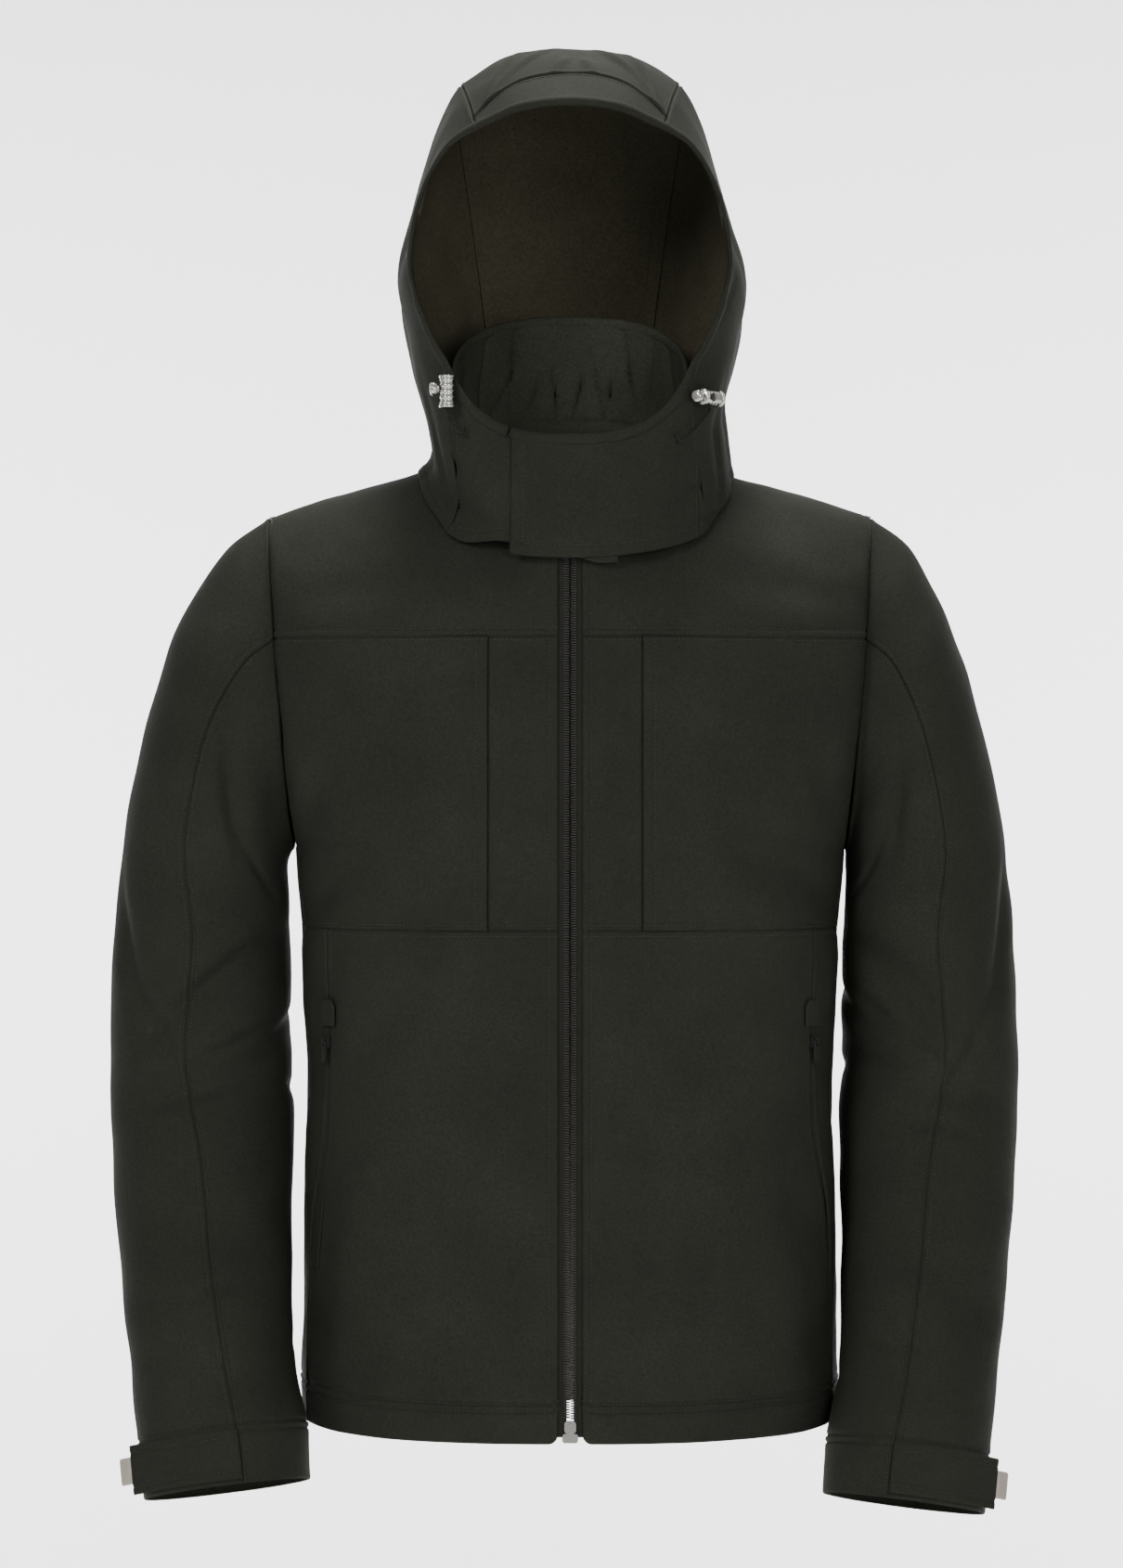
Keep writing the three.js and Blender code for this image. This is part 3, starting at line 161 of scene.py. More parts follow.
front_seam_rows = Rows(
    "t turn",
    (0, ARM_SEAM),
    (0.29, 0.216),
    (0.4, 0.244),
    (0.52, 0.233),
    (0.64, 0.258),
    (0.76, 0.27),
    (0.87, 0.282),
    (1, 0.29),
)
# side, spread of the outer and inner line, drop of the cuff
ARMS = {"left": (1, -4.5, -2.5, 14.5), "right": (-1, 4.5, 2.5, 4)}
SIDES = {"left": 1, "right": -1}


def armhole(turn):
    a = turn * 2 * np.pi
    depth = np.where(np.sin(a) > 0, ARMHOLE_FRONT, ARMHOLE_BACK)
    return point(
        ARMHOLE_X + ARMHOLE_OUT * np.cos(a),
        SIDE_Y - depth * np.sin(a),
        ARMHOLE_Z + ARMHOLE_TALL * np.cos(a),
    )


def armhole_at(is_front, level):
    above = ARM_SEAM * (1 - (level - YOKE_Z) / YOKE_SPAN)
    cosine = np.clip((level - ARMHOLE_Z) / ARMHOLE_TALL, -1, 1)
    turn = np.where(level > YOKE_Z, above, np.arccos(cosine) / (2 * np.pi))
    return armhole(turn if is_front else 1 - turn)


def share_at(x, z):
    half = body_rows.read("half", z)
    return 2 / np.pi * np.arcsin(np.clip(x / half, 0, 1) ** (SQUARE / 2))


def body_ring(is_front, w, z):
    w = np.clip(w, 0, 1)
    turn = w * np.pi / 2
    half = body_rows.read("half", z)
    depth = body_rows.read("front" if is_front else "back", z)
    out = np.maximum(np.cos(turn), 0) ** (2 / SQUARE)
    side_y = lerp(SIDE_Y, -depth if is_front else depth, out)
    p = point(half * np.sin(turn) ** (2 / SQUARE), side_y, z)
    shift = armhole_at(is_front, z) - point(half, SIDE_Y, z)
    return p + shift * np.where(z > UNDERARM_Z, w**3, 0)[..., None]


NECK_SHARE = float(share_at(NECK_X, YOKE_Z))


def neck_edge(is_front, across):
    q = np.cos(np.arcsin(np.clip(across / NECK_X, 0, 1)))
    y, z = NECK_FRONT if is_front else NECK_BACK
    return point(across, lerp(NECK_SIDE[0], y, q), lerp(NECK_SIDE[1], z, q))


def top_edge(is_front, w):
    half = float(body_rows.read("half", YOKE_Z))
    reach = half * np.sin(np.clip(w, 0, 1) * np.pi / 2) ** (2 / SQUARE)
    neck = neck_edge(is_front, np.minimum(reach, NECK_X))
    f = np.clip((reach - NECK_X) / (half - NECK_X), 0, 1)
    x = lerp(NECK_X, ARMHOLE_X + ARMHOLE_OUT, f)
    shoulder = point(x, lerp(NECK_SIDE[0], SIDE_Y, f), shoulder_rows.read("z", x))
    return np.where((w <= NECK_SHARE)[..., None], neck, shoulder)


def shoulder_curve(is_front, w, s):
    low = body_ring(is_front, w, np.full_like(w, YOKE_Z))
    high = top_edge(is_front, w)
    tall = (high - low)[..., 2]
    deep = (high - low)[..., 1]
    level = np.minimum(w / NECK_SHARE, 1) ** 1.5 * np.pi / 2
    lift = low + point(0, 0.05 * deep, 0.45 * tall)
    back = deep * (0.45 * np.sin(level) + 0.25 * np.cos(level))
    arrive = high - point(0, back, 0.4 * tall * np.cos(level))
    s = s[..., None]
    r = 1 - s
    return low * r**3 + lift * 3 * r * r * s + arrive * 3 * r * s * s + high * s**3


def body(is_front, w, level):
    """The whole body: level is the height up to the yoke seam, then counts on above it."""
    w, level = (np.array(x, float) for x in np.broadcast_arrays(w, level))
    low = body_ring(is_front, w, np.minimum(level, YOKE_Z))
    s = np.clip((level - YOKE_Z) / YOKE_SPAN, 0, 1)
    edge = shoulder_curve(is_front, np.ones_like(w), s)
    shift = armhole_at(is_front, np.maximum(level, YOKE_Z + 1e-9)) - edge
    weight = np.clip(w, 0, 1)[..., None] ** 3
    high = shoulder_curve(is_front, w, s) + shift * weight
    return np.where((level <= YOKE_Z)[..., None], low, high)


def hem_lift(is_front, w, z):
    share = np.clip((CHEST_SEAM_Z - z) / (CHEST_SEAM_Z - HEM_Z), 0, 1)
    x = 202 * np.sin(np.clip(w, 0, 1) * np.pi / 2) ** (2 / SQUARE)
    near = np.clip((x - ZIP_EDGE) / HEM_CORNER, 0, 1)
    near = 1 - near if is_front else np.zeros_like(x)
    corner = HEM_CORNER * (1 - np.sqrt(np.maximum(1 - near * near, 0))) * share**12
    return HEM_RISE * w * w * share + corner


def sleeve(arm, turn, t):
    side, spread_out, spread_in, drop = ARMS[arm]
    turn, t = (np.array(x, float) for x in np.broadcast_arrays(turn, t))
    put = smoothstep(t, 0, 0.15)
    sag = drop * t * t
    outer = point(
        sleeve_rows.read("out_x", t) + spread_out * put,
        0,
        sleeve_rows.read("out_z", t) - sag,
    )
    inner = point(
        sleeve_rows.read("in_x", t) + spread_in * put,
        0,
        sleeve_rows.read("in_z", t) - sag,
    )
    a = turn * 2 * np.pi
    depth = np.where(
        np.sin(a) > 0, sleeve_rows.read("front", t), sleeve_rows.read("back", t)
    )
    p = (outer + inner) / 2 + (outer - inner) / 2 * np.cos(a)[..., None]
    p[..., 1] += sleeve_rows.read("mid_y", t) - depth * np.sin(a)
    p[..., 2] += sleeve_rows.read("lean", t) * depth * np.sin(a)
    return to_side(p, side)


def front_seam(t):
    return front_seam_rows.read("turn", t)


# Cut of the hood (mm)

HOOD_FOOT_X, HOOD_LIFT = 115, 2.2
CHIN_TOP, CENTRE_SEAM, RIM_BLEND = 0.32, 0.83, 0.4
CHIN_ARC = math.pi / 3
CHIN_LOW, CHIN_HIGH, CHIN_SIDE = (-113, -73), (-113, 18), (88, -98, 69)
FLAP_EDGE, UNDER_EDGE = -0.412, 0.326
RIM_WIDE, RIM_THICK, RIM_LIFT = 8.6, 4, -0.6

hood_rows = Rows(
    "u share over crown_y crown_z cheek top",
    (0, 0.217, -58, -112, 262, 0.95, 0.8),
    (0.2, 0.27, -37, -55, 300, 0.99, 0.92),
    (0.45, 0.288, -2, 12, 316, 1, 1),
    (0.65, 0.262, 10, 92, 290, 0.95, 0.97),
    (0.8, 0.225, 14, 143, 215, 0.8, 0.86),
    (0.92, 0.165, 13, 150, 110, 0.6, 0.72),
    (1, 0.12, 11, 79, 7, 0.4, 0.58),
)
outline_rows = Rows(
    "f x h",
    (0, 115, 0),
    (0.05, 112.5, 0.035),
    (0.15, 113, 0.15),
    (0.25, 120, 0.25),
    (0.37, 128.5, 0.4),
    (0.48, 129, 0.49),
    (0.57, 122.5, 0.575),
    (0.68, 112, 0.7),
    (0.77, 99, 0.83),
    (0.83, 84, 0.915),
    (0.91, 50, 0.97),
    (1, 0, 1),
)
rim_rows = Rows(
    "f x y z",
    (0.32, 88, -98, 69),
    (0.37, 97.5, -90, 84),
    (0.43, 106, -84, 101),
    (0.48, 112.5, -80, 118),
    (0.57, 119.5, -72, 148),
    (0.68, 111, -80, 195),
    (0.77, 91, -95, 228),
    (0.83, 68, -105, 241),
    (0.91, 36, -114, 251),
    (1, 0, -118, 257),
)

# How far each side of the hood leans out, and the left cheek alone behind the rolled edge
lean_rows = Rows(
    "f left right cheek",
    (0, 9, 0, 0),
    (0.05, 9, -8, 0),
    (0.1, 7, -6, 0),
    (0.17, 2, -2, 1),
    (0.3, 0, 0, 4.5),
    (0.45, 0, 0, 2.5),
    (0.57, 0, 0, 0),
)
FOOT_SLOPE = 0.33  # fall of the shoulder under the hood's foot
CROWN_SOFT = 0.06  # share over which the crown rounds off across the middle


def crownward(f):
    """Share of the height, rounded off so that the crown has no ridge in the middle."""
    d = np.abs(1 - f)
    far = d - CROWN_SOFT / 2 * (1 - smoothstep(d, CROWN_SOFT, 0.15))
    return 1 - np.where(d < CROWN_SOFT, d * d / (2 * CROWN_SOFT), far)


def hood_foot_line(u):
    over = hood_rows.read("over", u)
    share = hood_rows.read("share", u)
    level = YOKE_Z + YOKE_SPAN - np.abs(over)

    def at(w, z):
        w = np.clip(w, 0, 1)
        z = np.clip(z, YOKE_Z, YOKE_Z + YOKE_SPAN)
        return np.where((over < 0)[..., None], body(True, w, z), body(False, w, z))

    across = at(share + 1e-3, level) - at(share - 1e-3, level)
    rise = at(share, level + 0.5) - at(share, level - 0.5)
    n = unit(np.cross(across, rise))
    return at(share, level) + n * np.where(n[..., 2:] < 0, -1, 1) * HOOD_LIFT


FOOT_U = np.linspace(0, 1, 401)
FOOT = hood_foot_line(FOOT_U)


def hood_foot(u):
    return np.stack([np.interp(u, FOOT_U, FOOT[:, k]) for k in range(3)], axis=-1)


def chin(s, v):
    s, v = (np.array(x, float) for x in np.broadcast_arrays(s, v))
    a = s * CHIN_ARC
    bow = (1 - np.cos(a)) / (1 - math.cos(CHIN_ARC))
    wide = np.sin(a) / math.sin(CHIN_ARC)
    corner = FOOT[0]
    low = point(
        corner[0] * wide,
        lerp(CHIN_LOW[0], corner[1], bow),
        lerp(CHIN_LOW[1], corner[2], np.abs(s) ** 2.1),
    )
    high = point(
        CHIN_SIDE[0] * wide,
        lerp(CHIN_HIGH[0], CHIN_SIDE[1], bow),
        lerp(CHIN_HIGH[1], CHIN_SIDE[2], np.abs(s) ** 2.6),
    )
    f = np.maximum(v, 0) * CHIN_TOP
    lean = np.where(s < 0, lean_rows.read("right", f), lean_rows.read("left", f))
    p = lerp(low, high, v[..., None])
    p[..., 0] += np.sign(s) * lean * smoothstep(np.abs(s), 0.3, 1)
    return p


def face_edge(f):
    low = chin(np.ones_like(f), np.minimum(f / CHIN_TOP, 1))
    low[..., 0] -= lean_rows.read("left", f)
    up = crownward(f)
    high = point(
        rim_rows.read("x", f), rim_rows.read("y", up), rim_rows.read("z", up)
    )
    return np.where((f <= CHIN_TOP)[..., None], low, high)


def hood_rib(f, u):
    foot = hood_foot(u)
    h = outline_rows.read("h", crownward(f))
    low = lerp(
        foot[..., 0] / HOOD_FOOT_X, hood_rows.read("cheek", u), smoothstep(f, 0, 0.35)
    )
    size = lerp(low, hood_rows.read("top", u), smoothstep(f, 0.35, CENTRE_SEAM))
    return point(
        outline_rows.read("x", f) * size,
        lerp(foot[..., 1], hood_rows.read("crown_y", u), h),
        lerp(foot[..., 2], hood_rows.read("crown_z", u), h),
    )


def hood(f, u):
    """Hood surface: f 0 at the foot, 1 at the crown and on down the other side."""
    f, u = (np.array(x, float) for x in np.broadcast_arrays(f, u))
    near = np.where(f > 1, 2 - f, f)
    fade = ((1 - np.minimum(u / RIM_BLEND, 1)) ** 2)[..., None]
    p = hood_rib(near, u) + (face_edge(near) - hood_rib(near, u * 0)) * fade
    left = lean_rows.read("left", near)
    left += lean_rows.read("cheek", near) * smoothstep(u, 0, 0.3)
    out = np.where(f > 1, lean_rows.read("right", near), left)
    out = out * (1 - smoothstep(u, 0.6, 0.85))
    p[..., 0] += out
    p[..., 2] -= out * FOOT_SLOPE * smoothstep(u, 0, 0.25) * (1 - smoothstep(near, 0, 0.1))
    p[..., 0] *= np.where(f > 1, -1, 1)
    return p


# Collar stand inside the hood, counted from the middle of its back (0) to its front ends
GATHERS, GATHER_DEEP = 8, 2.2
COLLAR_END = 1 - math.asin(ZIP_EDGE / NECK_X) / math.pi


def collar(c, v):
    c, v = (np.array(x, float) for x in np.broadcast_arrays(c, v))
    a = (1 - np.abs(c)) * np.pi
    across = NECK_X * np.sin(a)
    low = np.where(
        (a < np.pi / 2)[..., None], neck_edge(True, across), neck_edge(False, across)
    )
    back = (1 - np.cos(a)) / 2
    high = point(
        88 * np.maximum(np.sin(a), 0) ** 0.75,
        lerp(-94, 74, back),
        8 + 114 * back**0.75,
    )
    p = lerp(low, high, v[..., None])
    p[..., 0] *= np.where(c < 0, -1, 1)
    return p


# Folds and creases (mm)
# Each row is a soft trough: its middle (a, b), tilt in degrees, half length, half width
# and depth. A negative depth is a ridge.

FOLD_NAMES = "a b tilt long wide depth"

# Round the ring (a) and down the arm (b) from the shoulder point, on both arms.
sleeve_folds = Rows(
    FOLD_NAMES,
    (60, 350, 62, 70, 13, 3),
    (135, 335, -38, 62, 14, 5.5),
    (170, 395, -20, 55, 14, 4.5),
    (95, 420, -12, 60, 15, 3.5),
    (330, 375, 25, 60, 15, 4.5),
    (285, 425, 12, 55, 14, 4),
    (120, 110, 70, 70, 18, 4),
    (300, 120, -68, 70, 18, 4),
    (140, 560, -25, 60, 16, 3),
    (60, 610, 15, 50, 15, 2.5),
    (300, 580, 20, 60, 16, 3),
)
SLEEVE_ROUND, SLEEVE_LONG = 430, 760

# Sharper creases of each arm, in the same measures.
arm_creases = {
    "left": Rows(
        FOLD_NAMES,
        (118, 372, -46, 46, 6, 4.3),
        (150, 362, -30, 34, 5, 3.2),
        (84, 396, 58, 40, 6, 3.6),
        (110, 452, -14, 38, 7, 2.9),
        (205, 350, -24, 42, 6, 3.2),
        (232, 405, 10, 36, 7, 2.9),
        (40, 310, 74, 48, 7, 3.1),
        (360, 350, 32, 44, 7, 3.6),
        (322, 410, 18, 40, 6, 2.9),
        (402, 300, -80, 52, 8, 2.5),
        (128, 640, -8, 34, 7, 2.5),
        (70, 690, 12, 36, 8, 2.3),
        (250, 660, -14, 40, 8, 2.5),
        (130, 150, 80, 44, 8, 3.2),
        (165, 180, 62, 36, 7, 2.7),
    ),
    "right": Rows(
        FOLD_NAMES,
        (112, 345, -40, 50, 6, 4.5),
        (140, 384, -24, 38, 5, 3.6),
        (78, 372, 50, 36, 6, 3.4),
        (104, 430, -18, 44, 7, 3.2),
        (196, 372, -18, 40, 6, 3.1),
        (226, 428, 14, 38, 7, 2.7),
        (46, 330, 70, 50, 7, 3.2),
        (352, 330, 28, 46, 7, 3.8),
        (318, 392, 22, 38, 6, 3.1),
        (396, 320, -76, 48, 8, 2.7),
        (122, 600, -16, 42, 7, 2.7),
        (76, 662, 8, 38, 8, 2.5),
        (258, 640, -10, 42, 8, 2.5),
        (124, 138, 76, 46, 8, 3.4),
        (158, 192, 58, 38, 7, 2.5),
    ),
}

# Across (a, wearer's left positive) and height (b) on the front and on the back.
front_folds = Rows(
    FOLD_NAMES,
    (-186, -585, 88, 95, 11, 3.9),
    (-168, -520, 82, 60, 12, 2.4),
    (-186, -420, 78, 55, 12, 3.0),
    (-150, -640, 86, 70, 16, 2.1),
    (-92, -610, 84, 80, 20, 1.7),
    (-178, -312, 52, 52, 12, 4.2),
    (-142, -292, 40, 50, 14, 2.7),
    (-188, -245, 70, 48, 12, 3.3),
    (-120, -240, 62, 60, 18, 1.8),
    (184, -600, 93, 90, 12, 3.6),
    (166, -540, 98, 62, 12, 2.5),
    (188, -430, 100, 58, 12, 2.8),
    (140, -650, 92, 66, 17, 2.0),
    (86, -585, 95, 84, 20, 1.5),
    (176, -306, 130, 54, 12, 3.9),
    (138, -288, 142, 48, 15, 2.8),
    (190, -238, 108, 46, 12, 3.2),
    (112, -232, 116, 58, 18, 1.8),
    (-150, -95, 12, 50, 12, 2.4),
    (152, -92, 166, 52, 12, 2.5),
)
back_folds = Rows(
    FOLD_NAMES,
    (-150, -300, 48, 70, 16, 3.6),
    (-120, -232, 40, 62, 18, 2.6),
    (-172, -400, 62, 60, 15, 2.9),
    (146, -310, 134, 72, 16, 3.5),
    (124, -240, 142, 60, 18, 2.8),
    (170, -412, 116, 58, 15, 2.6),
    (-64, -470, 6, 80, 13, 2.9),
    (52, -486, 176, 76, 13, 2.6),
    (-20, -448, 2, 60, 11, 1.8),
    (-128, -560, 80, 90, 17, 2.4),
    (118, -570, 98, 92, 17, 2.3),
    (-40, -600, 88, 88, 20, 1.6),
    (58, -640, 92, 66, 20, 1.4),
    (0, -160, 90, 60, 20, 1.4),
)

# From the face edge back (a) and up from the shoulder (b), for the wearer's left side.
hood_folds = Rows(
    FOLD_NAMES,
    (60, 40, 70, 42, 9, 2.6),
    (120, 34, 82, 40, 11, 2.4),
    (190, 40, 96, 44, 12, 2.6),
    (255, 36, 84, 40, 12, 2.4),
    (320, 44, 100, 46, 13, 2.6),
    (30, 150, 20, 30, 6, 1.7),
    (34, 205, -24, 36, 6, 1.8),
    (90, 190, -58, 60, 12, 1.9),
    (190, 240, -40, 66, 15, 2.0),
    (280, 190, 30, 60, 14, 1.9),
    (150, 110, 30, 56, 13, 1.8),
)
HOOD_LONG, HOOD_TALL = 390, 330

# Crown of the hood: across (a) and back from the seam of the brim (b); most are ridges.
crown_creases = Rows(
    FOLD_NAMES,
    (-52, 32, 73, 36, 3.2, -3.2),
    (-46, 34, 66, 30, 4, 2),
    (-38, 30, 56, 38, 3.2, -3),
    (-27, 36, 62, 26, 5, 1.8),
    (-7, 18, 72, 16, 3.4, -2.2),
    (3, 30, 88, 24, 5, 1.2),
    (13, 18, -74, 16, 3.4, -2.2),
    (32, 38, -62, 26, 5, 1.8),
    (45, 30, -60, 38, 3.2, -3),
    (51, 36, -68, 30, 4, 2),
    (57, 32, -74, 36, 3.2, -3.4),
)

# Inside of the collar, across its back (a) and height (b).
collar_creases = Rows(
    FOLD_NAMES,
    (-67, 70, 84, 33.8, 2.4, 3.8),
    (-52, 60, 66, 18.2, 2.2, 2.9),
    (-44, 84, 86, 31.2, 2.2, 3.2),
    (-27, 62, 72, 16.9, 2.2, 2.8),
    (-11, 60, 96, 20.8, 2.4, 3.2),
    (8, 66, 78, 23.4, 2.2, 3.3),
    (21, 72, 104, 26.0, 2.2, 3.2),
    (31, 62, 80, 18.2, 2, 2.9),
    (46, 76, 98, 33.8, 2.4, 3.8),
    (60, 66, 82, 23.4, 2.2, 3.2),
    (77, 74, 94, 33.8, 2.4, 3.5),
)
COLLAR_SEAM, COLLAR_TALL, COLLAR_WALL = 0.175, 98, 2.0
COLLAR_ROLL = (8, 4.4, 0.4)  # width, thickness and lift of the rolled top


def troughs(rows, a, b):
    c = rows.columns
    height = np.zeros(np.broadcast(a, b).shape)
    for k in range(len(rows.key)):
        tilt = math.radians(c["tilt"][k])
        run = (a - c["a"][k]) * math.cos(tilt) + (b - c["b"][k]) * math.sin(tilt)
        off = (b - c["b"][k]) * math.cos(tilt) - (a - c["a"][k]) * math.sin(tilt)
        height -= c["depth"][k] * bell(run, c["long"][k]) * bell(off, c["wide"][k])
    return height


def unevenness(p, size, deep, seed):
    """Gentle unevenness of worn cloth: waves of about that size in every direction."""
    random = np.random.default_rng(seed)
    height = np.zeros(p.shape[:-1])
    for _ in range(9):
        way = unit(random.normal(size=3)) * 2 * np.pi / (size * random.uniform(0.7, 1.6))
        height += np.sin(p @ way + random.uniform(0, 2 * np.pi))
    return height * deep / 3


# Mesh making


def new_mesh(name, points, quads, triangles, material, inner=None, inner_from=0):
    """One object from points in millimetres; quads from inner_from on are the lining."""
    mesh = bpy.data.meshes.new(name)
    quads = np.array(quads, np.int32).reshape(-1, 4)
    triangles = np.array(triangles, np.int32).reshape(-1, 3)
    corners = np.concatenate([quads.ravel(), triangles.ravel()])
    starts = np.concatenate(
        [np.arange(len(quads)) * 4, len(quads) * 4 + np.arange(len(triangles)) * 3]
    )
    mesh.vertices.add(len(points))
    mesh.vertices.foreach_set("co", (np.asarray(points) * 1e-3).astype("f").ravel())
    mesh.loops.add(len(corners))
    mesh.loops.foreach_set("vertex_index", corners.astype(np.int32))
    mesh.polygons.add(len(starts))
    mesh.polygons.foreach_set("loop_start", starts.astype(np.int32))
    mesh.update(calc_edges=True)
    mesh.validate()
    mesh.materials.append(material)
    if inner:
        mesh.materials.append(inner)
        index = np.zeros(len(mesh.polygons), np.int32)
        index[inner_from : 2 * inner_from] = 1
        mesh.polygons.foreach_set("material_index", index)
    mesh.shade_smooth()
    made = bpy.data.objects.new(name, mesh)
    bpy.context.scene.collection.objects.link(made)
    return made


def shell(name, outer, normals, wall, material, lining=None):
    """A closed shell: the grid outer, and a second one the wall's thickness inside it."""
    rows, columns = outer.shape[:2]
    total = rows * columns
    inner = outer - normals * wall
    points = np.concatenate([outer.reshape(-1, 3), inner.reshape(-1, 3)])
    a = (np.arange(rows - 1)[:, None] * columns + np.arange(columns - 1)).ravel()
    front = np.stack([a, a + columns, a + columns + 1, a + 1], axis=1)
    border = np.concatenate(
        [
            np.arange(rows - 1) * columns,
            (rows - 1) * columns + np.arange(columns - 1),
            np.arange(rows - 1, 0, -1) * columns + columns - 1,
            np.arange(columns - 1, 0, -1),
        ]
    )
    after = np.roll(border, -1)
    edge = np.stack([after, border, border + total, after + total], axis=1)
    across = np.cross(outer[1:, :-1] - outer[:-1, :-1], outer[:-1, 1:] - outer[:-1, :-1])
    if (across * normals[:-1, :-1]).sum() < 0:
        front, edge = front[:, ::-1], edge[:, ::-1]
    quads = np.concatenate([front, front[:, ::-1] + total, edge])
    return new_mesh(name, points, quads, [], material, lining, len(front))


def loft(name, rings, material):
    """A closed body through a row of rings with the same number of points."""
    count, around = rings.shape[:2]
    a = np.arange(count - 1)[:, None] * around + np.arange(around)
    b = np.arange(count - 1)[:, None] * around + (np.arange(around) + 1) % around
    quads = np.stack([a, b, b + around, a + around], axis=-1).reshape(-1, 4)
    last = (count - 1) * around
    fan = np.arange(1, around - 1)
    caps = [np.stack([0 * fan, fan + 1, fan], axis=1)]
    caps.append(last + np.stack([0 * fan, fan, fan + 1], axis=1))
    points = rings.reshape(-1, 3)
    triangles = np.concatenate(caps)
    p, q, r, s = (points[quads[:, k]] for k in range(4))
    volume = (p * np.cross(q, r)).sum() + (p * np.cross(r, s)).sum()
    if volume < 0:
        quads, triangles = quads[:, ::-1], triangles[:, ::-1]
    return new_mesh(name, points, quads, triangles, material)


def keep(made, nodes):
    """The piece rides on the jacket and stands for its solids, which are hidden."""
    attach(made, BODY)
    if nodes:
        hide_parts(*nodes)
    return made


# Distances from a border at which a panel has its own points (mm)
NEAR_BORDER = np.array([0, 0.5, 1, 1.6, 2.4, 3.4, 4.4, 5.3, 6.2, 7.1, 8.2, 9.8, 12])


def stations(surface, alongside, limits, pitch, close=()):
    """Parameter values about pitch millimetres apart, closer beside both borders.

    Close lists further distances with their own points, counted from the low border, or
    from the high one where negative."""
    low, high = limits[alongside]
    across = limits[1 - alongside]
    t = np.linspace(low, high, 700)
    lengths = []
    for share in (0.2, 0.5, 0.8):
        other = np.full_like(t, lerp(across[0], across[1], share))
        p = surface(t, other) if alongside == 0 else surface(other, t)
        steps = np.linalg.norm(np.diff(p, axis=0), axis=1)
        lengths.append(np.concatenate([[0], np.cumsum(steps)]))
    s = np.mean(lengths, axis=0)
    near = NEAR_BORDER[NEAR_BORDER < s[-1] / 2 - 0.2]
    count = max(1, round((s[-1] - 2 * near[-1]) / pitch))
    middle = np.linspace(near[-1], s[-1] - near[-1], count + 1)
    beside = [d + k + (s[-1] if d < 0 else 0) for d in close for k in (-2, -1, 0, 1, 2)]
    marks = np.unique(np.concatenate([near, middle, s[-1] - near, beside]).round(4))
    marks = marks[np.concatenate([[True], np.diff(marks) > 0.25])]
    return np.interp(marks, s, t)


def grid_normals(p, inside):
    across, down = np.gradient(p, axis=0), np.gradient(p, axis=1)
    n = unit(np.cross(across, down))
    return n if (n * (p - np.array(inside))).sum() > 0 else -n


